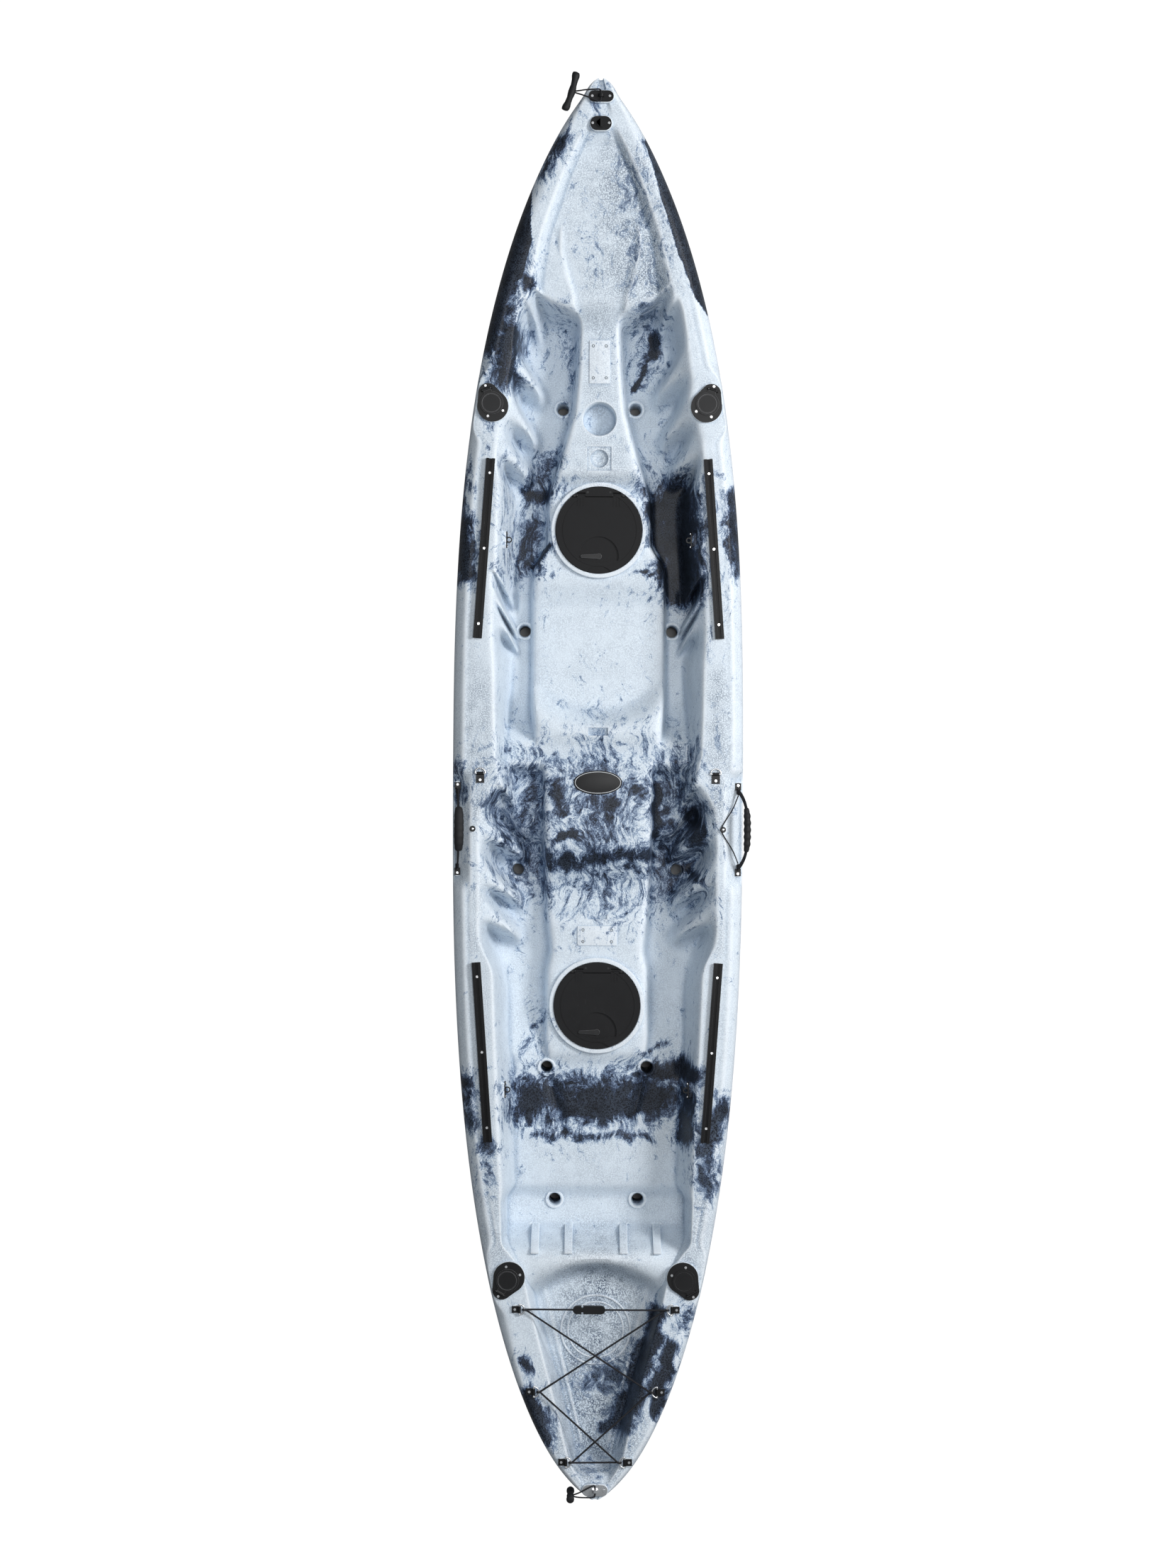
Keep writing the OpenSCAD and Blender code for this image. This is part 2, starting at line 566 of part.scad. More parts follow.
module hatch_seat_cut() {
    cylinder(r = hatch_d / 2 + rim_gap, h = lip_rise, $fn = 96);
    translate([0, 0, -seat_rise - 2 * skin_t]) cylinder(r = neck_r + 0.5, h = 3 * skin_t, $fn = 96);
    ring_screw_places() screw_hole(screw_bite + 0.3);
}
module hatch_ring() {
    difference() {
        union() {
            cylinder(r = hatch_d / 2, h = ring_t, $fn = 96);
            translate([0, 0, -neck_depth]) cylinder(r = neck_r, h = neck_depth + 1, $fn = 96);
            intersection() {
                cylinder(r = hatch_d / 2, h = land_h, $fn = 96);
                translate([land_x, -hatch_d / 2, 0]) cube([hatch_d, hatch_d, land_h]);
            }
        }
        translate([0, 0, -neck_depth - 1]) cylinder(r = bore_r, h = neck_depth + land_h + 2, $fn = 96);
        for (s = [-1, 1]) {
            translate([land_x - 1, s * hinge_y - knuckle_l / 2 - gap, ring_t])
                cube([hinge_x - land_x + knuckle_r + 3, knuckle_l + 2 * gap, land_h]);
            translate([hinge_x, s * hinge_y, hinge_z]) along_y(hinge_pin_r, hinge_pin_l);
        }
        ring_screw_places() translate([0, 0, land_h]) {
            screw_hole(land_h + 1);
            translate([0, 0, -screw_head_t])
                cylinder(r = screw_head_r + gap, h = screw_head_t + 1, $fn = 24);
        }
    }
}
module hatch_lid() {
    difference() {
        union() {
            intersection() {
                translate([0, 0, lid_z]) cylinder(r = hatch_d / 2 - rim_gap, h = lid_t, $fn = 96);
                translate([-hatch_d, -hatch_d, 0]) cube([hatch_d + lid_edge_x, 2 * hatch_d, hatch_d]);
            }
            translate([0, 0, lid_z - spigot_depth]) difference() {
                cylinder(r = spigot_r, h = spigot_depth + 1, $fn = 96);
                translate([0, 0, -1]) cylinder(r = spigot_r - 3.5, h = spigot_depth + 1.5, $fn = 96);
            }
            translate([-latch_back, 0, lid_z - 8]) cylinder(r = 9, h = 9);
            for (s = [-1, 1]) {
                translate([hinge_x, s * hinge_y, hinge_z]) along_y(knuckle_r, knuckle_l);
                translate([lid_edge_x - 1, s * hinge_y - knuckle_l / 2, lid_z])
                    cube([hinge_x - lid_edge_x + 1, knuckle_l, lid_t]);
                for (k = [-1 : 1]) translate([lid_edge_x - 24, s * hinge_y + 8 * k - 2, lid_top - 1])
                    cube([24, 4, 2]);
            }
        }
        for (s = [-1, 1]) translate([hinge_x, s * hinge_y, hinge_z])
            along_y(hinge_pin_r + fit, knuckle_l + 2);
        translate([0, 0, gasket_z - 1]) difference() {
            cylinder(r = gasket_r + gasket_w, h = gasket_t + 1, $fn = 96);
            translate([0, 0, -1]) cylinder(r = gasket_r, h = gasket_t + 3, $fn = 96);
        }
        translate([-latch_back, 0, 0]) {
            intersection() {
                translate([0, 0, lid_top - latch_recess_d]) cylinder(r = latch_recess_r, h = hatch_d);
                translate([-12, -hatch_d, 0]) cube([hatch_d, 2 * hatch_d, hatch_d]);
            }
            translate([0, 0, lid_z - 9]) cylinder(r = latch_shaft_r + fit, h = hatch_d);
        }
        translate([-hatch_d / 2 + notch_w - notch_r, 0, lid_top - 3]) cylinder(r = notch_r, h = hatch_d);
    }
}
module hatch_gasket() {
    translate([0, 0, gasket_z]) difference() {
        cylinder(r = gasket_r + gasket_w, h = gasket_t, $fn = 96);
        translate([0, 0, -1]) cylinder(r = gasket_r, h = gasket_t + 2, $fn = 96);
    }
}
module hatch_pins() {
    for (s = [-1, 1]) translate([hinge_x, s * hinge_y, hinge_z]) along_y(hinge_pin_r, hinge_pin_l);
}
module latch_lever() {
    translate([-latch_back, 0, lever_z]) {
        cylinder(r = latch_hub_r, h = lever_t);
        linear_extrude(lever_t) polygon([[-7, 0], [7, 0], [4, latch_l - 4], [-4, latch_l - 4]]);
        translate([0, latch_l - 4, 0]) cylinder(r = 4, h = lever_t);
    }
    translate([-latch_back, 0, cam_top - cam_t])
        cylinder(r = latch_shaft_r, h = lever_z + cam_t - cam_top + 1);
}
module latch_cam() {
    translate([-latch_back, 0, cam_top - cam_t]) difference() {
        union() {
            cylinder(r = latch_hub_r, h = cam_t);
            translate([-11, -5, 0]) cube([11, 10, cam_t]);
            translate([-11, 0, 0]) cylinder(r = 5, h = cam_t);
        }
        translate([0, 0, -1]) cylinder(r = latch_shaft_r, h = cam_t + 2);
    }
}
module hatch_screws() {
    color("silver") for (x = hatches) at_hatch(x)
        ring_screw_places() translate([0, 0, land_h - screw_head_t]) screw(land_h - screw_head_t);
}

// Rod holders: x points along the flange from its wide end to its hinge
rod_boss = 2.5;
rod_flange_t = 5;
rod_tilt = 12;
bow_rod_turn = 20;
stern_rod_turn = 30;
rod_tube_r = rod_d / 2 + rod_wall;
rod_wide_r = rod_flange_w / 2;
rod_wide_x = -8;
rod_narrow_r = 26;
rod_narrow_x = rod_wide_x - rod_wide_r + rod_flange_l - rod_narrow_r;
cap_r = 31;
cap_z = rod_flange_t + 0.4;
cap_t = 4.6;
cap_arm_w = 22;
cap_hinge_x = 40;
cap_hinge_z = rod_flange_t + 4;
cap_knuckle_r = 3.6;
cap_pin_r = 1.8;
cap_ear_t = 4;
cap_ear_y = (cap_arm_w + cap_ear_t) / 2 + gap;
rod_screws = [[-29.5, 21.5], [-29.5, -21.5], [50, 0]];
module at_bow_rod() {
    translate(laid([bow_rod_x, bow_rod_y, side_z(bow_rod_x) + rod_boss])) rotate(bow_rod_turn) children();
}
module at_stern_rod() {
    translate(laid([stern_rod_x, stern_rod_y, side_z(stern_rod_x) + rod_boss]))
        rotate(180 - stern_rod_turn) children();
}
module at_rods() {
    both_sides() {
        at_bow_rod() children();
        at_stern_rod() children();
    }
}
// The flanks of the flange stay just inside its two arcs
flank_share = 0.99;
module rod_plan(grow, t) {
    lean = asin((rod_wide_r - rod_narrow_r) / (rod_narrow_x - rod_wide_x));
    a = flank_share * (rod_wide_r + grow);
    b = flank_share * (rod_narrow_r + grow);
    translate([rod_wide_x, 0, 0]) cylinder(r = rod_wide_r + grow, h = t);
    translate([rod_narrow_x, 0, 0]) cylinder(r = rod_narrow_r + grow, h = t);
    linear_extrude(t) polygon([
        [rod_wide_x + a * sin(lean), a * cos(lean)], [rod_narrow_x + b * sin(lean), b * cos(lean)],
        [rod_narrow_x + b * sin(lean), -b * cos(lean)], [rod_wide_x + a * sin(lean), -a * cos(lean)]]);
}
module rod_bore(r, low, high) {
    rotate([0, rod_tilt, 0]) translate([0, 0, -low]) cylinder(r = r, h = low + high);
}
module rod_holder() {
    difference() {
        union() {
            rod_plan(0, rod_flange_t);
            intersection() {
                rod_bore(rod_tube_r, rod_depth, rod_flange_t + rod_boss);
                translate([-rod_depth, -rod_depth, -2 * rod_depth])
                    cube([2 * rod_depth, 2 * rod_depth, 2 * rod_depth + rod_flange_t - 1]);
            }
            for (s = [-1, 1]) translate([cap_hinge_x, s * cap_ear_y, cap_hinge_z]) {
                along_y(cap_knuckle_r, cap_ear_t);
                translate([-cap_knuckle_r, -cap_ear_t / 2, -cap_hinge_z + 1])
                    cube([2 * cap_knuckle_r, cap_ear_t, cap_hinge_z - 1]);
            }
        }
        rod_bore(rod_d / 2, rod_depth - rod_wall, 12);
        translate([cap_hinge_x, 0, cap_hinge_z]) along_y(cap_pin_r, 2 * cap_arm_w);
        for (p = rod_screws) translate([p[0], p[1], rod_flange_t]) screw_hole(rod_flange_t + 1);
    }
}
module rod_cap() {
    difference() {
        union() {
            translate([0, 0, cap_z]) cylinder(r = cap_r, h = cap_t);
            translate([0, -cap_arm_w / 2, cap_z]) cube([cap_hinge_x, cap_arm_w, cap_t]);
            translate([cap_hinge_x, 0, cap_hinge_z]) along_y(cap_knuckle_r, cap_arm_w);
        }
        translate([cap_hinge_x, 0, cap_hinge_z]) along_y(cap_pin_r + fit, cap_arm_w + 2);
        translate([0, 0, cap_z + cap_t - 0.8]) difference() {
            cylinder(r = cap_r - 5, h = 2);
            translate([0, 0, -1]) cylinder(r = cap_r - 7, h = 4);
        }
    }
}
module rod_cap_pins() {
    color("silver") at_rods()
        translate([cap_hinge_x, 0, cap_hinge_z]) along_y(cap_pin_r, cap_arm_w + 2 * gap + 2 * cap_ear_t);
}
module rod_screw_set() {
    color("silver") at_rods() for (p = rod_screws)
        translate([p[0], p[1], rod_flange_t]) screw(rod_flange_t);
}

// Slide tracks: a slotted bar along x, screwed through its floor
track_floor = 2.5;
track_lip = 3.5;
track_cavity = 15;
track_screws = [-0.42 * track_l, 0, 0.42 * track_l];
module at_front_track() {
    translate(laid([front_track_x, track_y, side_deck_h])) rotate(-track_turn) children();
}
module at_rear_track() {
    translate(laid([rear_track_x, track_y, side_deck_h])) rotate(track_turn) children();
}
module at_tracks() {
    both_sides() {
        at_front_track() children();
        at_rear_track() children();
    }
}
module track() {
    half = [[track_w / 2, 0], [track_w / 2, track_t], [track_slot / 2, track_t],
        [track_slot / 2, track_t - track_lip], [track_cavity / 2, track_t - track_lip],
        [track_cavity / 2, track_floor]];
    section = concat(half, [for (k = [len(half) - 1 : -1 : 0]) [-half[k][0], half[k][1]]]);
    difference() {
        rotate([90, 0, 90]) translate([0, 0, -track_l / 2]) linear_extrude(track_l) polygon(section);
        for (x = track_screws) translate([x, 0, track_floor]) screw_hole(track_floor + 1);
    }
}
module track_screw_set() {
    color("silver") at_tracks() for (x = track_screws)
        translate([x, 0, track_floor]) screw(track_floor);
}

// Side handles: the origin is the middle of the hinge line, and the grip stands up from it
handle_seat = seam_h + 22;
anchor_t = 2.5;
strap_loop_r = 5;
strap_loop_l = 12;
strap_t = 3;
strap_w = 12;
handle_pin_r = 2.5;
handle_axis = handle_seat + anchor_t + strap_loop_r + gap;
anchor_ear_x = handle_l / 2 - 10;
anchor_pin_x = anchor_ear_x - 15;
port_handle_lean = 7;
starboard_handle_lean = -24;
grip_l = 112;
module at_handle() {
    translate(laid([handle_x, handle_y, handle_axis])) children();
}
module handle_ends() {
    children();
    mirror([1, 0, 0]) children();
}
module handle_bosses() {
    both_sides() at_handle() handle_ends() translate([handle_l / 2, 0, seam_h + 2 - handle_axis])
        cylinder(r = 11, h = handle_seat - seam_h - 2);
}
module handle_anchor() {
    low = handle_seat - handle_axis;
    difference() {
        union() {
            translate([anchor_ear_x - 2, -8, low]) cube([20, 16, anchor_t]);
            translate([anchor_ear_x, -strap_loop_r, low]) cube([3, 2 * strap_loop_r, -low]);
            translate([anchor_ear_x, 0, 0]) rotate([0, 90, 0]) cylinder(r = strap_loop_r, h = 3);
            translate([anchor_pin_x, 0, 0]) rotate([0, 90, 0]) cylinder(r = handle_pin_r, h = 16);
        }
        translate([handle_l / 2 + 1.5, 0, low + anchor_t]) screw_hole(anchor_t + 1);
    }
}
module handle_strap() {
    foot = [anchor_pin_x + 2, anchor_pin_x + 2 + strap_loop_l];
    top = handle_reach + strap_w / 2;
    half = [[foot[0], 0], [grip_l / 2 + 2, top - strap_w], [grip_l / 2 + 10, top], [foot[1], 0]];
    outline = [half[3], half[2], [-half[2][0], half[2][1]], [-half[3][0], 0], [-half[0][0], 0],
        [-half[1][0], half[1][1]], half[1], half[0]];
    difference() {
        union() {
            rotate([90, 0, 0]) linear_extrude(strap_t, center = true) polygon(outline);
            handle_ends() translate([foot[0], 0, 0]) rotate([0, 90, 0])
                cylinder(r = strap_loop_r, h = strap_loop_l);
        }
        handle_ends() translate([anchor_pin_x - 1, 0, 0]) rotate([0, 90, 0])
            cylinder(r = handle_pin_r + fit, h = foot[1] - anchor_pin_x + 2);
    }
}
module handle_grip() {
    translate([0, 0, handle_reach]) difference() {
        union() {
            translate([-grip_l / 2, 0, 0]) rotate([0, 90, 0]) cylinder(r = handle_d / 2, h = grip_l);
            for (k = [-2 : 2]) translate([k * grip_l / 5 - 4, 0, 0]) rotate([0, 90, 0])
                cylinder(r = handle_d / 2 + 0.8, h = 8);
        }
        translate([-grip_l, -strap_t / 2, -strap_w / 2]) cube([2 * grip_l, strap_t, strap_w]);
    }
}
module handle_anchors() {
    color("black") both_sides() at_handle() handle_ends() handle_anchor();
}
module handle_screws() {
    color("silver") both_sides() at_handle() handle_ends()
        translate([handle_l / 2 + 1.5, 0, handle_seat - handle_axis + anchor_t]) screw(anchor_t);
}

// Paddle keepers: a button on each side deck and an elastic cord between the handle's anchors
keeper = [handle_x, 338];
keeper_base_t = 2;
keeper_neck_r = 3;
elastic_r = 1.5;
keeper_slack = 0.6;
keeper_cord_z = side_deck_h + keeper_base_t + elastic_r + keeper_slack;
keeper_head_z = keeper_base_t + 2 * (elastic_r + keeper_slack);
module paddle_keeper_buttons() {
    color("black") both_sides() translate(laid([keeper[0], keeper[1], side_deck_h])) {
        cylinder(r = 8, h = keeper_base_t);
        cylinder(r = keeper_neck_r, h = keeper_head_z + 1);
        translate([0, 0, keeper_head_z]) cylinder(r = 7, h = 2.4);
    }
}
module paddle_keeper_cords() {
    near_y = keeper[1] * lay[1] - keeper_neck_r - elastic_r - gap;
    hinge_line = handle_y * lay[1];
    route = [[anchor_pin_x - 1, hinge_line, handle_axis],
        [anchor_pin_x - 34, hinge_line - 14, side_deck_h - 4], [6, near_y, keeper_cord_z]];
    route_back = [for (k = [len(route) - 1 : -1 : 0]) [-route[k][0], route[k][1], route[k][2]]];
    points = concat(route, route_back);
    color("dimgray") {
        mirror([0, 1, 0]) translate([handle_x * lay[0], 0, 0]) for (k = [1 : len(points) - 1]) {
            rod_between(points[k - 1], points[k], elastic_r);
            if (k < len(points) - 1) bend(points[k], elastic_r);
        }
        at_handle() translate([-anchor_pin_x, 0, 0]) rotate([0, 90, 0])
            cylinder(r = elastic_r, h = 2 * anchor_pin_x);
    }
}

// D rings: the bar lies along y at the origin, and the bow of the ring points along x
ring_r = (ring_w - ring_wire) / 2;
tab_loop_r = 4.2;
tab_t = 2.5;
deck_ring = [46, 318];
deck_tab = [26, 22];
stern_ring_places = [[-1398, 206], [-1616, 166], [-1800, 79]];
stern_tab = [20, 18];
stern_boss_r = 13;
stern_boss_h = 3.5;
function stern_ring_z(x) = side_z(x) + stern_boss_h + tab_loop_r;
module at_deck_ring() {
    translate(laid([deck_ring[0], deck_ring[1], side_deck_h + tab_loop_r])) children();
}
module at_stern_rings() {
    for (p = stern_ring_places) both_sides()
        translate(laid([p[0], p[1], stern_ring_z(p[0])])) rotate(-90) children();
}
module d_ring() {
    along_y(ring_wire / 2, 2 * ring_r);
    rotate(-90) rotate_extrude(angle = 180) translate([ring_r, 0]) circle(r = ring_wire / 2, $fn = 24);
    for (s = [-1, 1]) translate([0, s * ring_r, 0]) sphere(r = ring_wire / 2, $fn = 24);
}
module ring_tab(size) {
    difference() {
        union() {
            along_y(tab_loop_r, 18);
            translate([-size[0], -size[1] / 2, -tab_loop_r]) cube([size[0], size[1], tab_t]);
        }
        along_y(ring_wire / 2 + fit, size[1] + 2);
        tab_screw_place(size) screw_hole(tab_t + 1);
    }
}
module tab_screw_place(size) {
    translate([-size[0] + 8, 0, tab_t - tab_loop_r]) children();
}
module deck_ring_tabs() {
    color("black") both_sides() at_deck_ring() ring_tab(deck_tab);
}
module stern_rings() {
    color("silver") at_stern_rings() d_ring();
}
module stern_ring_tabs() {
    color("black") at_stern_rings() ring_tab(stern_tab);
}
module ring_tab_screws() {
    color("silver") {
        both_sides() at_deck_ring() tab_screw_place(deck_tab) screw(tab_t);
        at_stern_rings() tab_screw_place(stern_tab) screw(tab_t);
    }
}

// Stern bungee: a loop round each stern ring, with one strand leaving high and one low
bungee_loop_r = (ring_wire + bungee_d) / 2 + 0.1;
bungee_lean = 38;
hook_l = 87;
hook_w = 22;
hook_t = 12;
hook_y = 18;
function ring_apex(k, side) =
    let (p = stern_ring_places[k], ring = laid([p[0], p[1], stern_ring_z(p[0])]))
    [ring[0], side * (ring[1] - ring_r), ring[2]];
function strand_end(k, side, up) = ring_apex(k, side)
    + bungee_loop_r * [0, -side * cos(bungee_lean), up * sin(bungee_lean)];
// Each strand: ring row, side and height at both its ends
strands = [
    [[0, 1, -1], [0, -1, 1]], [[0, 1, 1], [1, -1, 1]], [[0, -1, -1], [1, 1, -1]],
    [[1, 1, 1], [2, -1, 1]], [[1, -1, -1], [2, 1, -1]], [[2, 1, 1], [2, -1, -1]]];
function strand(k) = [for (e = strands[k]) strand_end(e[0], e[1], e[2])];
module stern_bungee() {
    color("black") {
        for (row = [0 : 2], side = [-1, 1]) translate(ring_apex(row, side)) rotate([0, 90, 0])
            rotate_extrude() translate([bungee_loop_r, 0]) circle(r = bungee_d / 2, $fn = 24);
        for (k = [0 : len(strands) - 1]) rod_between(strand(k)[0], strand(k)[1], bungee_d / 2);
    }
}
module bungee_hook() {
    a = strand(0)[0];
    b = strand(0)[1];
    rise = atan((a[2] - b[2]) / (a[1] - b[1]));
    middle = b + (a - b) * (hook_y - b[1]) / (a[1] - b[1]);
    color("black") translate(middle) rotate([rise, 0, 0]) difference() {
        translate([0, 0, -hook_t / 2]) rotate(90) stadium(hook_l, hook_w, hook_t);
        along_y(bungee_d / 2 + fit, 2 * hook_l);
        for (s = [-1, 1]) translate([s * 8.5, 18, -hook_t]) cylinder(r = 3, h = 2 * hook_t);
    }
}

// Pad eyes: a plate along x, with the eye's bore along y
eye_t = 3;
eye_w = 8;
eye_r = 8;
eye_z = eye_t + 5;
seat_eye = [46, 16, 5];
end_eye = [67, 30, toggle_cord_d / 2 + fit];
seat_eyes = [[680, 252, 258], [-812, 250, 262]];
eye_boss = 4;
bow_eye_x = hull_half - 48;
stern_eye_x = 27 - hull_half;
bow_eye = laid([bow_eye_x, 0, side_z(bow_eye_x) + eye_boss]);
stern_eye = laid([stern_eye_x, 0, side_z(stern_eye_x) + eye_boss]);
function eye_screw_x(size) = size[0] / 2 - size[1] / 3;
module eye_screw_places(size) {
    for (s = [-1, 1]) translate([s * eye_screw_x(size), 0, eye_t]) children();
}
module pad_eye(size) {
    difference() {
        union() {
            stadium(size[0], size[1], eye_t);
            translate([0, 0, eye_z]) along_y(eye_r, eye_w);
            translate([-eye_r, -eye_w / 2, 0]) cube([2 * eye_r, eye_w, eye_z]);
        }
        translate([0, 0, eye_z]) along_y(size[2], size[1]);
        eye_screw_places(size) screw_hole(eye_t + 1);
    }
}
module at_seat_eyes() {
    for (p = seat_eyes) both_sides() translate(laid(p)) rotate([90, 0, 0]) children();
}
module at_end_eyes() {
    for (p = [bow_eye, stern_eye]) translate(p) rotate(90) children();
}
module seat_pad_eyes() {
    color("black") at_seat_eyes() pad_eye(seat_eye);
}
module seat_pad_eye_screws() {
    color("silver") at_seat_eyes() eye_screw_places(seat_eye) screw(eye_t);
}
module bow_pad_eye() {
    color("black") translate(bow_eye) rotate(90) pad_eye(end_eye);
}
module stern_pad_eye() {
    color("silver") translate(stern_eye) rotate(90) pad_eye(end_eye);
}

// Toggles: a cord through the end eye, and a grip across the cord
toggle_run = 17.5;
toggle_shoulder = 42;
bow_toggle = laid([13 / lay[0], 78, -13]);
bow_toggle_turn = [90, 0, 73];
stern_toggle = laid([-17 / lay[0], 66, -15]);
knot_r = 4;
function toggle_end(s) = [s * toggle_run, 0, 0];
function toggle_bend(at, s) =
    let (reach = at[1] / lay[1])
    [mix(s * toggle_run, at[0], toggle_shoulder / reach), at[1] - reach + toggle_shoulder, 0];
module toggle_cord(eye, at) {
    r = toggle_cord_d / 2;
    translate(eye + [0, 0, eye_z]) {
        rod_between(toggle_end(-1), toggle_end(1), r);
        for (s = [-1, 1]) {
            bend(toggle_end(s), r);
            rod_between(toggle_end(s), toggle_bend(at, s), r);
            bend(toggle_bend(at, s), r);
            rod_between(toggle_bend(at, s), at, r);
        }
        translate(at) sphere(r = knot_r);
    }
}
module toggle_grip(eye, at, turn) {
    translate(eye + [0, 0, eye_z]) difference() {
        translate(at) rotate(turn) {
            cylinder(r = toggle_d / 2, h = toggle_l, center = true);
            for (s = [-1, 1]) translate([0, 0, s * toggle_l / 3])
                cylinder(r = toggle_d / 2 + 0.8, h = 10, center = true);
        }
        for (s = [-1, 1]) rod_between(toggle_bend(at, s), at, toggle_cord_d / 2);
        translate(at) sphere(r = knot_r);
    }
}
module bow_toggle_cord() {
    color("dimgray") toggle_cord(bow_eye, bow_toggle);
}
module bow_toggle_grip() {
    color("black") toggle_grip(bow_eye, bow_toggle, bow_toggle_turn);
}
module stern_toggle_cord() {
    color("dimgray") toggle_cord(stern_eye, stern_toggle);
}
module stern_toggle_grip() {
    color("black") toggle_grip(stern_eye, stern_toggle, [0, 0, 0]);
}

// Drain
drain_size = [57, 38];
drain_x = hull_half - 117;
drain_at = laid([drain_x, 0, side_z(drain_x) + 4]);
drain_r = 8;
drain_head_r = 12;
drain_screw_y = 22;
module drain_flange() {
    color("black") translate(drain_at) difference() {
        rotate(90) stadium(drain_size[0], drain_size[1], eye_t);
        translate([0, 0, -1]) cylinder(r = drain_r + fit, h = 2 * eye_t);
        for (s = [-1, 1]) translate([0, s * drain_screw_y, eye_t]) screw_hole(eye_t + 1);
    }
}
module drain_plug() {
    color("dimgray") translate(drain_at + [0, 0, eye_t + gap]) {
        cylinder(r = drain_head_r, h = 4);
        translate([-drain_head_r + 1, -2, 3]) cube([2 * drain_head_r - 2, 4, 5]);
        translate([0, 0, -18]) cylinder(r = drain_r, h = 19);
    }
}
module end_screws() {
    color("silver") {
        at_end_eyes() eye_screw_places(end_eye) screw(eye_t);
        translate(drain_at + [0, 0, eye_t]) for (s = [-1, 1])
            translate([0, s * drain_screw_y, 0]) screw(eye_t);
    }
}

// Bare oval plate on the mid deck
plate_half = [66, 33];
plate_x = 22;
plate_t = 2.4;
function oval(shrink) = [for (a = [0 : 7.5 : 352.5])
    [(plate_half[1] - shrink) * cos(a), (plate_half[0] - shrink) * sin(a)]];
module name_plate() {
    color("black") translate(laid([plate_x, 0, mid_h])) difference() {
        linear_extrude(plate_t) polygon(oval(0));
        translate([0, 0, plate_t - 0.6]) linear_extrude(plate_t) polygon(oval(3));
    }
}

// Accessory pads with threaded inserts
pad_rise = 2.5;
insert_r = 4;
insert_l = 9;
pad_edge = [31, 22];
module front_pad_places() {
    for (sx = [-1, 1], sy = [-1, 1])
        translate(laid([front_pad_x, 0, console_h + pad_rise])
            + [sx * front_pad_long, sy * front_pad_short, 0] / 2) children();
}
module rear_pad_places() {
    for (sx = [-1, 1], sy = [-1, 1])
        translate(laid([rear_pad_x, 0, rear_platform_h + pad_rise])
            + [sx * rear_pad_short, sy * rear_pad_long, 0] / 2) children();
}
module insert_places() {
    front_pad_places() children();
    rear_pad_places() children();
}
module pad_block(at, size) {
    translate(laid(at) - [size[0] / 2, size[1] / 2, root]) cube([size[0], size[1], root + pad_rise]);
}
module accessory_pads() {
    pad_block([front_pad_x, 0, console_h], [front_pad_long, front_pad_short] + pad_edge);
    pad_block([rear_pad_x, 0, rear_platform_h],
        [rear_pad_short, rear_pad_long] + [pad_edge[1], pad_edge[0]]);
    insert_places() translate([0, 0, -insert_l - 3]) cylinder(r = insert_r + 3, h = insert_l + 2);
}
module accessory_inserts() {
    color("goldenrod") insert_places() translate([0, 0, -insert_l]) difference() {
        cylinder(r = insert_r, h = insert_l);
        translate([0, 0, -1]) cylinder(r = insert_d / 2, h = insert_l + 2);
    }
}

// Seats that fittings need on the deck
module fitting_bosses() {
    at_rods() translate([0, 0, -rod_boss - root]) rod_plan(1.5, rod_boss + root);
    handle_bosses();
    at_stern_rings() translate([-9, 0, -tab_loop_r - 18]) cylinder(r = stern_boss_r, h = 18);
    at_seat_eyes() translate([0, 0, -20]) stadium(seat_eye[0] + 4, seat_eye[1] + 6, 20);
    at_end_eyes() translate([0, 0, -eye_boss - 8]) stadium(end_eye[0] + 4, end_eye[1] + 4, eye_boss + 8);
    translate(drain_at - [0, 0, 16]) rotate(90) stadium(drain_size[0] + 4, drain_size[1] + 4, 16);
}
module fitting_holes() {
    at_rods() {
        rod_bore(rod_tube_r + 1, 60, 12);
        for (p = rod_screws) translate([p[0], p[1], 0]) screw_hole(screw_bite + 0.3);
    }
    at_tracks() for (x = track_screws) translate([x, 0, 0]) screw_hole(screw_bite + 0.3);
    both_sides() at_handle() handle_ends()
        translate([handle_l / 2 + 1.5, 0, handle_seat - handle_axis]) screw_hole(screw_bite + 0.3);
    both_sides() at_deck_ring() tab_screw_place(deck_tab) screw_hole(tab_t + screw_bite + 0.3);
    at_stern_rings() tab_screw_place(stern_tab) screw_hole(tab_t + screw_bite + 0.3);
    at_seat_eyes() eye_screw_places(seat_eye) screw_hole(eye_t + screw_bite + 0.3);
    at_end_eyes() eye_screw_places(end_eye) screw_hole(eye_t + screw_bite + 0.3);
    translate(drain_at) {
        for (s = [-1, 1]) translate([0, s * drain_screw_y, 0]) screw_hole(screw_bite + 0.3);
        translate([0, 0, -40]) cylinder(r = drain_r + 1, h = 50);
    }
    insert_places() translate([0, 0, -insert_l]) cylinder(r = insert_r, h = insert_l + 1);
}

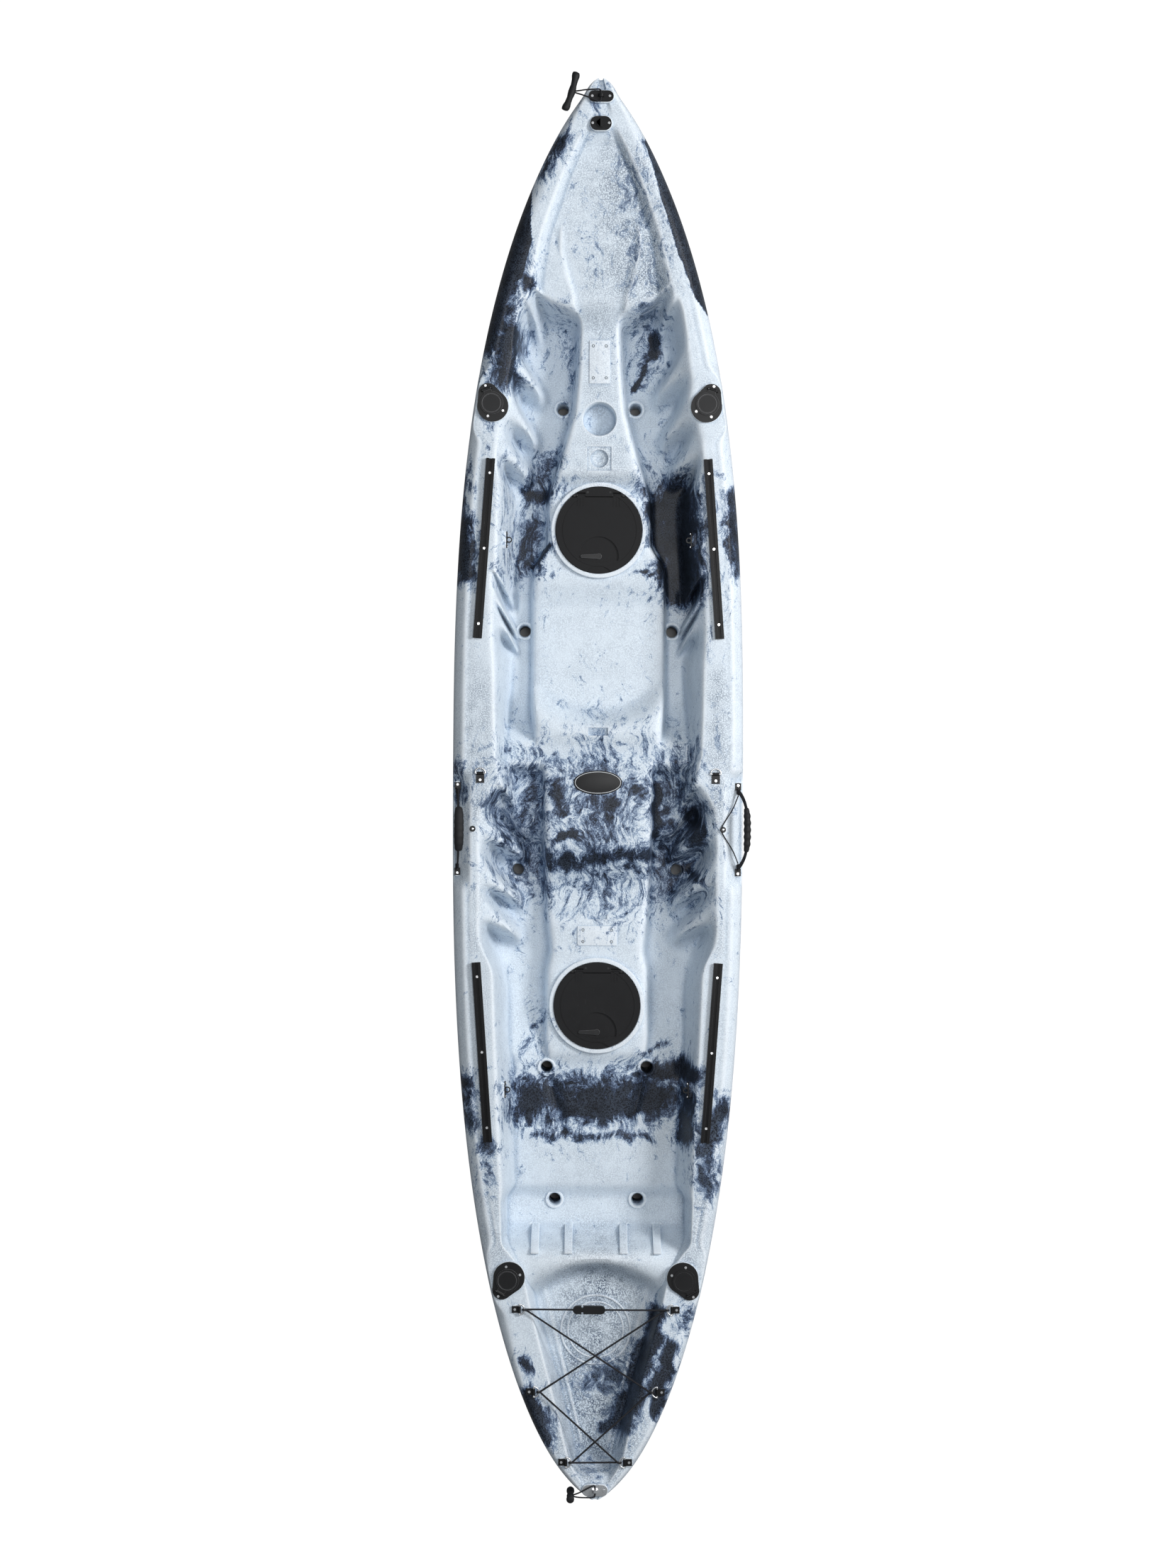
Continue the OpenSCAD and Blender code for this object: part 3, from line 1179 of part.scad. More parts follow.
// Cup holder, tray, notches and moulded ribs
notch_size = [22, 54, 8];
notches = [[161, 0, mid_h], [-342, 0, rear_platform_h]];
well_ring_x = -1470;
pocket_ribs = [75, 166];
rib_w = 22;
tray_floor = 12;
tray_step = [66, 2];
module moulded_details() {
    translate(laid([cup_x, 0, console_h - cup_depth - scupper_wall]))
        cylinder(r = cup_d / 2 + scupper_wall, h = cup_depth + scupper_wall - 1);
    translate(laid([tray_x, 0, console_h - tray_floor - scupper_wall]))
        cylinder(r = tray_d / 2 + scupper_wall, h = tray_floor + scupper_wall - 1);
    for (p = notches)
        translate(laid(p) - [notch_size[0] / 2 + 4, notch_size[1] / 2 + 4, notch_size[2] + skin_t])
            cube([notch_size[0] + 8, notch_size[1] + 8, notch_size[2] + skin_t - 1]);
    translate(laid([well_ring_x, 0, well_floor_h - 2])) difference() {
        cylinder(r = well_ring_d / 2, h = 4);
        translate([0, 0, -1]) cylinder(r = well_ring_d / 2 - 6, h = 6);
    }
    pocket_floor = rear_seat_h - pocket_d;
    for (y = pocket_ribs, s = [-1, 1]) translate(laid([pocket_back_x, s * y, 0]) + [0, rib_w / 2, 0])
        rotate([90, 0, 0]) linear_extrude(rib_w) polygon([[38, pocket_floor - 2], [18, pocket_floor - 3],
            [-24, side_z(pocket_back_x) - 14], [-18, side_z(pocket_back_x) - 9]]);
}
module moulded_cuts() {
    translate(laid([cup_x, 0, console_h - cup_depth])) cylinder(r = cup_d / 2, h = cup_depth + 1);
    translate(laid([tray_x, 0, console_h - tray_floor])) cylinder(r = tray_d / 2, h = tray_floor + 1);
    translate(laid([tray_x, 0, console_h]) - [tray_step[0] / 2, tray_step[0] / 2, tray_step[1]])
        cube([tray_step[0], tray_step[0], tray_step[1] + 1]);
    for (p = notches) translate(laid(p) - [notch_size[0] / 2, notch_size[1] / 2, notch_size[2]])
        cube([notch_size[0], notch_size[1], notch_size[2] + 10]);
}

module hull_bottom() {
    color("lightsteelblue") difference() {
        skin(hull_rows, true);
        scupper_bores(scupper_r + gap, floor_h);
    }
}
module deck() {
    color("white") difference() {
        union() {
            skin(deck_rows, false);
            for (x = hatches) at_hatch(x) hatch_seat();
            scupper_tubes();
            fitting_bosses();
            accessory_pads();
            moulded_details();
        }
        for (x = hatches) at_hatch(x) hatch_seat_cut();
        scupper_bores(scupper_d / 2, side_deck_h);
        fitting_holes();
        moulded_cuts();
    }
}
module front_hatch_ring() {
    color("black") at_hatch(front_hatch_x) hatch_ring();
}
module front_hatch_lid() {
    color("dimgray") at_hatch(front_hatch_x) hatch_lid();
}
module front_hatch_gasket() {
    color("gray") at_hatch(front_hatch_x) hatch_gasket();
}
module front_hatch_pins() {
    color("silver") at_hatch(front_hatch_x) hatch_pins();
}
module front_latch_lever() {
    color("black") at_hatch(front_hatch_x) latch_lever();
}
module front_latch_cam() {
    color("black") at_hatch(front_hatch_x) latch_cam();
}
module rear_hatch_ring() {
    color("black") at_hatch(rear_hatch_x) hatch_ring();
}
module rear_hatch_lid() {
    color("dimgray") at_hatch(rear_hatch_x) hatch_lid();
}
module rear_hatch_gasket() {
    color("gray") at_hatch(rear_hatch_x) hatch_gasket();
}
module rear_hatch_pins() {
    color("silver") at_hatch(rear_hatch_x) hatch_pins();
}
module rear_latch_lever() {
    color("black") at_hatch(rear_hatch_x) latch_lever();
}
module rear_latch_cam() {
    color("black") at_hatch(rear_hatch_x) latch_cam();
}
module port_bow_rod_holder() {
    color("black") at_bow_rod() rod_holder();
}
module starboard_bow_rod_holder() {
    mirror([0, 1, 0]) port_bow_rod_holder();
}
module port_stern_rod_holder() {
    color("black") at_stern_rod() rod_holder();
}
module starboard_stern_rod_holder() {
    mirror([0, 1, 0]) port_stern_rod_holder();
}
module port_bow_rod_cap() {
    color("dimgray") at_bow_rod() rod_cap();
}
module starboard_bow_rod_cap() {
    mirror([0, 1, 0]) port_bow_rod_cap();
}
module port_stern_rod_cap() {
    color("dimgray") at_stern_rod() rod_cap();
}
module starboard_stern_rod_cap() {
    mirror([0, 1, 0]) port_stern_rod_cap();
}
module port_front_track() {
    color("black") at_front_track() track();
}
module starboard_front_track() {
    mirror([0, 1, 0]) port_front_track();
}
module port_rear_track() {
    color("black") at_rear_track() track();
}
module starboard_rear_track() {
    mirror([0, 1, 0]) port_rear_track();
}
module port_handle_strap() {
    color("black") at_handle() rotate([port_handle_lean, 0, 0]) handle_strap();
}
module port_handle_grip() {
    color("dimgray") at_handle() rotate([port_handle_lean, 0, 0]) handle_grip();
}
module starboard_handle_strap() {
    color("black") mirror([0, 1, 0]) at_handle() rotate([starboard_handle_lean, 0, 0]) handle_strap();
}
module starboard_handle_grip() {
    color("dimgray") mirror([0, 1, 0]) at_handle() rotate([starboard_handle_lean, 0, 0]) handle_grip();
}
module port_deck_ring() {
    color("silver") at_deck_ring() d_ring();
}
module starboard_deck_ring() {
    mirror([0, 1, 0]) port_deck_ring();
}

hull_bottom();
deck();
front_hatch_ring();
front_hatch_lid();
front_hatch_gasket();
front_hatch_pins();
front_latch_lever();
front_latch_cam();
rear_hatch_ring();
rear_hatch_lid();
rear_hatch_gasket();
rear_hatch_pins();
rear_latch_lever();
rear_latch_cam();
hatch_screws();
port_bow_rod_holder();
starboard_bow_rod_holder();
port_stern_rod_holder();
starboard_stern_rod_holder();
port_bow_rod_cap();
starboard_bow_rod_cap();
port_stern_rod_cap();
starboard_stern_rod_cap();
rod_cap_pins();
rod_screw_set();
port_front_track();
starboard_front_track();
port_rear_track();
starboard_rear_track();
track_screw_set();
handle_anchors();
handle_screws();
port_handle_strap();
port_handle_grip();
starboard_handle_strap();
starboard_handle_grip();
paddle_keeper_buttons();
paddle_keeper_cords();
port_deck_ring();
starboard_deck_ring();
deck_ring_tabs();
stern_rings();
stern_ring_tabs();
ring_tab_screws();
stern_bungee();
bungee_hook();
seat_pad_eyes();
seat_pad_eye_screws();
bow_pad_eye();
bow_toggle_cord();
bow_toggle_grip();
stern_pad_eye();
stern_toggle_cord();
stern_toggle_grip();
drain_flange();
drain_plug();
end_screws();
name_plate();
accessory_inserts();
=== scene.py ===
"""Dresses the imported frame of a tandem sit-on-top kayak for its photograph.

The classes hold their sizes in millimetres, as a maker's drawing does. Meshes are made in metres, in the
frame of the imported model: +X towards the bow, +Y to port, +Z up from the keel.
"""
from __future__ import annotations

import json
import logging
import math
from contextlib import contextmanager
from dataclasses import dataclass, field
from enum import Enum
from typing import Any, Iterator, Protocol, Sequence

import bpy
import numpy as np
from mathutils import Matrix, Vector

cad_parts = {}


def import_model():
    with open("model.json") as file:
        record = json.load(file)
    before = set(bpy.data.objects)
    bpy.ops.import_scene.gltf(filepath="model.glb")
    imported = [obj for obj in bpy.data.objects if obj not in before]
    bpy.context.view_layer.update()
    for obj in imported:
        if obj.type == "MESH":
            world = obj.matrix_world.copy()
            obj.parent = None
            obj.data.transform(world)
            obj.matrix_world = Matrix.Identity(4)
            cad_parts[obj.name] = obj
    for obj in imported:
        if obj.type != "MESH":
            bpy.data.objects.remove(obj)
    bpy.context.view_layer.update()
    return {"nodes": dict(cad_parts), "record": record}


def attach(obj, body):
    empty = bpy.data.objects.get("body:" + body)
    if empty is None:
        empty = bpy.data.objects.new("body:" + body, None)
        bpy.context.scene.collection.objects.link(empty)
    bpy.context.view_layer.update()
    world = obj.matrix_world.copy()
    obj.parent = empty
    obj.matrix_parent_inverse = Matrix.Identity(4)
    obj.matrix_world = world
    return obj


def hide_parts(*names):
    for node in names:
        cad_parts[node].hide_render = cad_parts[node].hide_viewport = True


LOG = logging.getLogger("kayak")
MM = 0.001
Array = np.ndarray
Pair = tuple[float, float]
Point = tuple[float, float, float]
Obj = bpy.types.Object
Socket = bpy.types.NodeSocket
# Places that the body and its fittings share, in millimetres
HATCHES: tuple[tuple[str, float, float], ...] = (("front", 712.0, 200.0), ("rear", -589.0, 188.0))
STERN_RINGS: tuple[Pair, ...] = ((-1398, 206), (-1616, 166), (-1800, 79))
HANDLE: Point = (-104.0, 380.0, 279.8)
BOW_EYE, STERN_EYE, DRAIN = 1852.0, -1873.0, 1783.0


class Side(Enum):
    """A side of the boat, by the sign of y."""

    PORT = 1
    STARBOARD = -1


class Cut(Enum):
    """How a tool shape acts on a body."""

    ADD = "UNION"
    REMOVE = "DIFFERENCE"


# Curves


def smooth(value: Array) -> Array:
    """Ease a value from 0 to 1 with level ends."""
    k = np.clip(value, 0.0, 1.0)
    return k * k * (3.0 - 2.0 * k)


def mix(low: Array, high: Array, share: Array) -> Array:
    """Blend two values by a share."""
    return low + (high - low) * share


def window(x: Array, middle: float, half: float, edge: float) -> Array:
    """Return 1 within half of the middle, easing to 0 over the edge."""
    return smooth((half + edge - np.abs(x - middle)) / edge)


def bell(distance: Array, width: Array) -> Array:
    """Return 1 at no distance, falling away over a width."""
    return np.exp(-(distance / width) ** 2)


def along(x: Array, points: Sequence[Pair]) -> Array:
    """Follow straight runs between points.

    Args:
        x: Places along the boat.
        points: Pairs of place and value.

    Returns:
        The value at each place.
    """
    table = np.array(sorted(points))
    return np.interp(x, table[:, 0], table[:, 1])


def eased(x: Array, points: Sequence[Pair]) -> Array:
    """Follow eased runs between points.

    Args:
        x: Places along the boat.
        points: Pairs of place and value.

    Returns:
        The value at each place.
    """
    table = np.array(sorted(points))
    i = np.clip(np.searchsorted(table[:, 0], x) - 1, 0, len(table) - 2)
    start, stop = table[i], table[i + 1]
    return mix(start[:, 1], stop[:, 1], smooth((x - start[:, 0]) / (stop[:, 0] - start[:, 0])))


def segment_distance(x: Array, y: Array, a: Pair, b: Pair) -> tuple[Array, Array]:
    """Measure how far points lie from a segment in plan.

    Args:
        x: Places along the boat.
        y: Places across it.
        a: Start of the segment.
        b: End of the segment.

    Returns:
        The distances, and the share of the way from a to b.
    """
    run = np.array([b[0] - a[0], b[1] - a[1]])
    t = np.clip(((x - a[0]) * run[0] + (y - a[1]) * run[1]) / max(float(run @ run), 1e-9), 0.0, 1.0)
    return np.hypot(x - a[0] - t * run[0], y - a[1] - t * run[1]), t


# Workshop: steps of modelling by hand


def clear_selection() -> None:
    """Leave edit mode and deselect every object."""
    if bpy.context.object and bpy.context.object.mode != "OBJECT":
        bpy.ops.object.mode_set(mode="OBJECT")
    bpy.ops.object.select_all(action="DESELECT")


def take(obj: Obj) -> Obj:
    """Make one object selected and active."""
    clear_selection()
    obj.select_set(True)
    bpy.context.view_layer.objects.active = obj
    return obj


@contextmanager
def editing(obj: Obj) -> Iterator[None]:
    """Open an object in edit mode with all of it selected, and leave edit mode afterwards."""
    take(obj)
    bpy.ops.object.mode_set(mode="EDIT")
    bpy.ops.mesh.select_all(action="SELECT")
    yield
    bpy.ops.object.mode_set(mode="OBJECT")


def linked(name: str, data: bpy.types.ID) -> Obj:
    """Make an object of a mesh, curve, lamp or camera and put it in the scene."""
    obj = bpy.data.objects.new(name, data)
    bpy.context.scene.collection.objects.link(obj)
    return obj


def named(obj: Obj, name: str) -> Obj:
    """Name an object and its mesh."""
    obj.name = name
    obj.data.name = name
    return obj


def apply_modifier(obj: Obj, kind: str, **settings: Any) -> None:
    """Add a modifier with its settings and apply it."""
    take(obj)
    modifier = obj.modifiers.new(kind.lower(), kind)
    for key, value in settings.items():
        setattr(modifier, key, value)
    bpy.ops.object.modifier_apply(modifier=modifier.name)


def round_edges(obj: Obj, width: float, segments: int = 2, angle: float = 35.0,
                slot: int = -1) -> None:
    """Round the edges that turn by more than an angle.

    Args:
        obj: The object.
        width: Width of the rounding, in millimetres.
        segments: Faces across the rounding.
        angle: Least turn that counts as an edge, in degrees.
        slot: Material slot of the rounding's faces, or -1 for that of the faces beside it.
    """
    apply_modifier(obj, "BEVEL", width=width * MM, segments=segments, limit_method="ANGLE", material=slot,
                   angle_limit=math.radians(angle), use_clamp_overlap=True, harden_normals=False)


def shade(obj: Obj, angle: float = 38.0) -> None:
    """Shade smooth, with sharp edges where faces turn by more than an angle."""
    take(obj)
    bpy.ops.object.shade_smooth_by_angle(angle=math.radians(angle))


def recalculate(obj: Obj, merge: float = 0.02) -> None:
    """Merge doubles and turn all faces outwards.

    Args:
        obj: The object.
        merge: Distance of doubles, in millimetres.
    """
    with editing(obj):
        bpy.ops.mesh.remove_doubles(threshold=merge * MM)
        bpy.ops.mesh.normals_make_consistent(inside=False)


def mesh_object(name: str, points: Array | Sequence[Point], faces: Sequence[Sequence[int]] = (),
                edges: Sequence[tuple[int, int]] = ()) -> Obj:
    """Make a mesh object from points in millimetres.

    Args:
        name: Name of the object.
        points: One row per point.
        faces: Corner lists.
        edges: Pairs of points, where there are no faces yet.

    Returns:
        The new object.
    """
    data = bpy.data.meshes.new(name)
    data.from_pydata((np.asarray(points, float) * MM).tolist(), list(edges), [list(f) for f in faces])
    if faces:
        data.validate()
    return linked(name, data)


def block(outline: Sequence[Pair], low: float, high: float, rounding: float = 0.0) -> Obj:
    """Extrude an outline upwards.

    Args:
        outline: Corners in plan, in millimetres.
        low: Height of the bottom.
        high: Height of the top.
        rounding: Width of the rounding of its edges.

    Returns:
        The new object.
    """
    clear_selection()
    bpy.ops.mesh.primitive_circle_add(vertices=len(outline), radius=1.0, fill_type="NGON")
    obj = bpy.context.object
    for vertex, (x, y) in zip(obj.data.vertices, outline):
        vertex.co = (x * MM, y * MM, low * MM)
    with editing(obj):
        bpy.ops.mesh.extrude_region_move(TRANSFORM_OT_translate={"value": (0.0, 0.0, (high - low) * MM)})
        bpy.ops.mesh.select_all(action="SELECT")
        bpy.ops.mesh.normals_make_consistent(inside=False)
    if rounding > 0.0:
        round_edges(obj, rounding, 3, 50.0)
    return obj


def oval(half: Pair, centre: Pair = (0.0, 0.0), steps: int = 64) -> list[Pair]:
    """List the corners of an oval in plan."""
    angles = [2.0 * math.pi * k / steps for k in range(steps)]
    return [(centre[0] + half[0] * math.cos(a), centre[1] + half[1] * math.sin(a)) for a in angles]


def circle(radius: float, centre: Pair = (0.0, 0.0), steps: int = 64) -> list[Pair]:
    """List the corners of a circle in plan."""
    return oval((radius, radius), centre, steps)


def rectangle(centre: Pair, half: Pair) -> list[Pair]:
    """List the corners of a rectangle in plan."""
    corners = ((-1, -1), (1, -1), (1, 1), (-1, 1))
    return [(centre[0] + i * half[0], centre[1] + j * half[1]) for i, j in corners]


def two_circles(a: Pair, ra: float, b: Pair, rb: float, steps: int = 24) -> list[Pair]:
    """Outline a belt around two circles that lie along x.

    Args:
        a: Centre of the first circle.
        ra: Its radius.
        b: Centre of the second circle, at a larger x.
        rb: Its radius.
        steps: Corners on each arc.

    Returns:
        The corners in plan.
    """
    lean = math.asin((ra - rb) / (b[0] - a[0]))
    first = math.pi / 2.0 - lean
    right = [first - 2.0 * first * k / steps for k in range(steps + 1)]
    left = [-first - (2.0 * math.pi - 2.0 * first) * k / steps for k in range(steps + 1)]
    return ([(b[0] + rb * math.cos(t), b[1] + rb * math.sin(t)) for t in right]
            + [(a[0] + ra * math.cos(t), a[1] + ra * math.sin(t)) for t in left])


def belt(half: float, radius: float, steps: int = 16) -> list[Pair]:
    """Outline a belt whose two circles are alike but for a hair."""
    return two_circles((-half, 0.0), radius, (half, 0.0), radius - 0.01, steps)


def turned(name: str, profile: Sequence[Pair], steps: int = 64) -> Obj:
    """Spin a profile of radius and height about the z axis.

    Args:
        name: Name of the object.
        profile: Pairs of radius and height, in millimetres.
        steps: Faces around the axis.

    Returns:
        The new object.
    """
    points = [(r, 0.0, z) for r, z in profile]
    obj = mesh_object(name, points, edges=[(k, k + 1) for k in range(len(points) - 1)])
    with editing(obj):
        bpy.ops.mesh.spin(steps=steps, angle=2.0 * math.pi, center=(0, 0, 0), axis=(0, 0, 1))
    recalculate(obj)
    return obj


def tube(name: str, route: Sequence[Point], radius: float, resolution: int = 5,
         swell: Sequence[float] = ()) -> Obj:
    """Sweep a round cord along a smooth route.

    Args:
        name: Name of the object.
        route: Points in millimetres.
        radius: Radius of the cord.
        resolution: Fineness of its section.
        swell: Share of the radius at each point, if it changes.

    Returns:
        The new mesh object.
    """
    data = bpy.data.curves.new(name, "CURVE")
    data.dimensions = "3D"
    data.bevel_depth = radius * MM
    data.bevel_resolution = resolution
    data.use_fill_caps = True
    spline = data.splines.new("POLY")
    spline.points.add(len(route) - 1)
    for point, place in zip(spline.points, route):
        point.co = (place[0] * MM, place[1] * MM, place[2] * MM, 1.0)
    for point, share in zip(spline.points, swell):
        point.radius = share
    obj = take(linked(name, data))
    bpy.ops.object.convert(target="MESH")
    recalculate(obj, 0.001)
    return obj


def rounded_route(points: Sequence[Point], radius: float, steps: int = 6) -> list[Point]:
    """Round the corners of a route.

    Args:
        points: Corners of the route.
        radius: How far before and after a corner the bend reaches.
        steps: Points on each bend.

    Returns:
        The points of the rounded route.
    """
    corners = [Vector(p) for p in points]
    route = [corners[0]]
    for before, corner, after in zip(corners, corners[1:], corners[2:]):
        a = corner + (before - corner).normalized() * min(radius, 0.45 * (before - corner).length)
        b = corner + (after - corner).normalized() * min(radius, 0.45 * (after - corner).length)
        for k in range(steps + 1):
            t = k / steps
            route.append(a * (1 - t) ** 2 + corner * 2 * t * (1 - t) + b * t ** 2)
    route.append(corners[-1])
    return [tuple(p) for p in route]


def vertex_values(obj: Obj, key: str) -> Array:
    """Read a vector of every vertex, such as its place or its normal."""
    values = np.zeros(len(obj.data.vertices) * 3)
    obj.data.vertices.foreach_get(key, values)
    return values.reshape(-1, 3)


def raised(profile: Sequence[Pair], z: float) -> list[Pair]:
    """Lift a profile of radius and height."""
    return [(radius, z + height) for radius, height in profile]


def move(obj: Obj, matrix: Matrix) -> Obj:
    """Move a mesh by a matrix whose place is in millimetres."""
    scaled = matrix.copy()
    scaled.translation = matrix.translation * MM
    obj.data.transform(scaled)
    if matrix.determinant() < 0:
        obj.data.flip_normals()
    return obj


def rotation(degrees: float, axis: str) -> Matrix:
    """Make a turn about an axis."""
    return Matrix.Rotation(math.radians(degrees), 4, axis)


def on_side(matrix: Matrix, side: Side) -> Matrix:
    """Mirror the matrix of a port fitting if it is for the starboard side."""
    return matrix if side is Side.PORT else Matrix.Scale(-1.0, 4, (0, 1, 0)) @ matrix


def place(at: Point, turn: float = 0.0, side: Side = Side.PORT) -> Matrix:
    """Make the matrix of a fitting's own frame.

    Args:
        at: Its origin on the port side, in millimetres.
        turn: Its turn about z, in degrees.
        side: The side of the boat it is on.

    Returns:
        The matrix, mirrored for the starboard side.
    """
    return on_side(Matrix.Translation(at) @ rotation(turn, "Z"), side)


def copy_of(obj: Obj, name: str) -> Obj:
    """Copy an object with a mesh of its own."""
    return named(linked(name, obj.data.copy()), name)


def joined(parts: Sequence[Obj], name: str) -> Obj:
    """Join objects into the first of them."""
    clear_selection()
    for part in parts:
        part.select_set(True)
    bpy.context.view_layer.objects.active = parts[0]
    if len(parts) > 1:
        bpy.ops.object.join()
    return named(bpy.context.view_layer.objects.active, name)


def combine(body: Obj, tool: Obj, cut: Cut) -> None:
    """Add a tool shape to a body or take it away, and delete the tool."""
    apply_modifier(body, "BOOLEAN", object=tool, operation=cut.value, solver="MANIFOLD")
    data = tool.data
    bpy.data.objects.remove(tool)
    bpy.data.meshes.remove(data)


# Finishes


class Graph:
    """Builds the nodes of one material or node group."""

    def __init__(self, tree: bpy.types.NodeTree) -> None:
        """Keep the tree."""
        self.tree = tree

    def node(self, kind: str, inputs: dict[Any, Any] | None = None, **settings: Any) -> bpy.types.Node:
        """Add a node.

        Args:
            kind: Type of the node.
            inputs: What each input is fed, by its name or number.
            settings: Its properties.

        Returns:
            The new node.
        """
        made = self.tree.nodes.new(kind)
        for key, value in settings.items():
            setattr(made, key, value)
        for key, value in (inputs or {}).items():
            self.feed(made.inputs[key], value)
        return made

    def feed(self, socket: Socket, value: Any) -> None:
        """Link an output to an input, or set the input's value."""
        if isinstance(value, Socket):
            self.tree.links.new(value, socket)
        else:
            socket.default_value = value

    def math(self, operation: str, a: Any, b: Any = 0.0, clamp: bool = False) -> Socket:
        """Add a math node and return its value."""
        return self.node("ShaderNodeMath", {0: a, 1: b}, operation=operation, use_clamp=clamp).outputs[0]

    def weighed(self, a: Any, share_a: float, b: Any, share_b: float) -> Socket:
        """Add two values, each times its share."""
        return self.math("ADD", self.math("MULTIPLY", a, share_a), self.math("MULTIPLY", b, share_b))

    def noise(self, vector: Any, scale: Any, detail: float = 3.0, rough: float = 0.55,
              output: str = "Fac") -> Socket:
        """Add a noise texture and return its value, or its colour."""
        inputs = {"Vector": vector, "Scale": scale, "Detail": detail, "Roughness": rough}
        return self.node("ShaderNodeTexNoise", inputs).outputs[output]

    def mapped(self, vector: Any, scale: Point, turn: Point = (0, 0, 0)) -> Socket:
        """Add a mapping node and return its vector."""
        inputs = {"Vector": vector, "Scale": scale, "Rotation": turn}
        return self.node("ShaderNodeMapping", inputs).outputs["Vector"]

    def attribute(self, name: str) -> Socket:
        """Add a node that reads a mesh attribute and return its value."""
        return self.node("ShaderNodeAttribute", attribute_name=name).outputs["Fac"]

    def ramp(self, value: Any, stops: Sequence[tuple[float, Sequence[float]]]) -> Socket:
        """Add a colour ramp and return its colour."""
        made = self.node("ShaderNodeValToRGB")
        elements = made.color_ramp.elements
        while len(elements) < len(stops):
            elements.new(0.5)
        for element, (position, colour) in zip(elements, stops):
            element.position = position
            element.color = (*colour, 1.0)
        self.feed(made.inputs["Fac"], value)
        return made.outputs["Color"]

    def blend(self, share: Any, a: Any, b: Any, kind: str = "MIX") -> Socket:
        """Add a colour mix and return its colour."""
        inputs = {"Factor": share, 6: a, 7: b}
        return self.node("ShaderNodeMix", inputs, data_type="RGBA", blend_type=kind).outputs[2]

    def spread(self, value: Any, low: float, high: float, start: float = 0.0, stop: float = 1.0) -> Socket:
        """Add a map range and return its value."""
        inputs = {"Value": value, "From Min": start, "From Max": stop, "To Min": low, "To Max": high}
        return self.node("ShaderNodeMapRange", inputs).outputs["Result"]

    def relief(self, shader: bpy.types.Node, surface: bpy.types.Node, rough: Pair, bump: Pair) -> None:
        """Give a shader the roughness and the bump of a surface.

        Args:
            shader: The shader.
            surface: A node with a tone and a height.
            rough: Roughness of its dark and of its light tones.
            bump: Strength and distance of the bump.
        """
        self.feed(shader.inputs["Roughness"], self.spread(surface.outputs["Tone"], *rough, 0.25, 0.75))
        inputs = {"Strength": bump[0], "Distance": bump[1], "Height": surface.outputs["Height"]}
        self.feed(shader.inputs["Normal"], self.node("ShaderNodeBump", inputs).outputs["Normal"])


def start_material(name: str) -> tuple[bpy.types.Material, Graph, bpy.types.Node, Socket]:
    """Start a material.

    Args:
        name: Name of the material.

    Returns:
        The material, its graph, its shader and its object coordinates.
    """
    made = bpy.data.materials.new(name)
    made.use_nodes = True
    g = Graph(made.node_tree)
    return made, g, made.node_tree.nodes["Principled BSDF"], g.node("ShaderNodeTexCoord").outputs["Object"]


def group(name: str, inputs: Sequence[tuple[str, str, float]], outputs: Sequence[tuple[str, str]]
          ) -> tuple[bpy.types.NodeTree, Graph, bpy.types.Node, bpy.types.Node]:
    """Start a shader node group with named sockets.

    Args:
        name: Name of the group.
        inputs: Name, socket kind and default of each input.
        outputs: Name and socket kind of each output.

    Returns:
        The tree, its graph, its input node and its output node.
    """
    tree = bpy.data.node_groups.new(name, "ShaderNodeTree")
    for label, kind, value in inputs:
        socket = tree.interface.new_socket(name=label, in_out="INPUT", socket_type=kind)
        if kind == "NodeSocketFloat":
            socket.default_value = value
    for label, kind in outputs:
        tree.interface.new_socket(name=label, in_out="OUTPUT", socket_type=kind)
    graph = Graph(tree)
    return tree, graph, graph.node("NodeGroupInput"), graph.node("NodeGroupOutput")


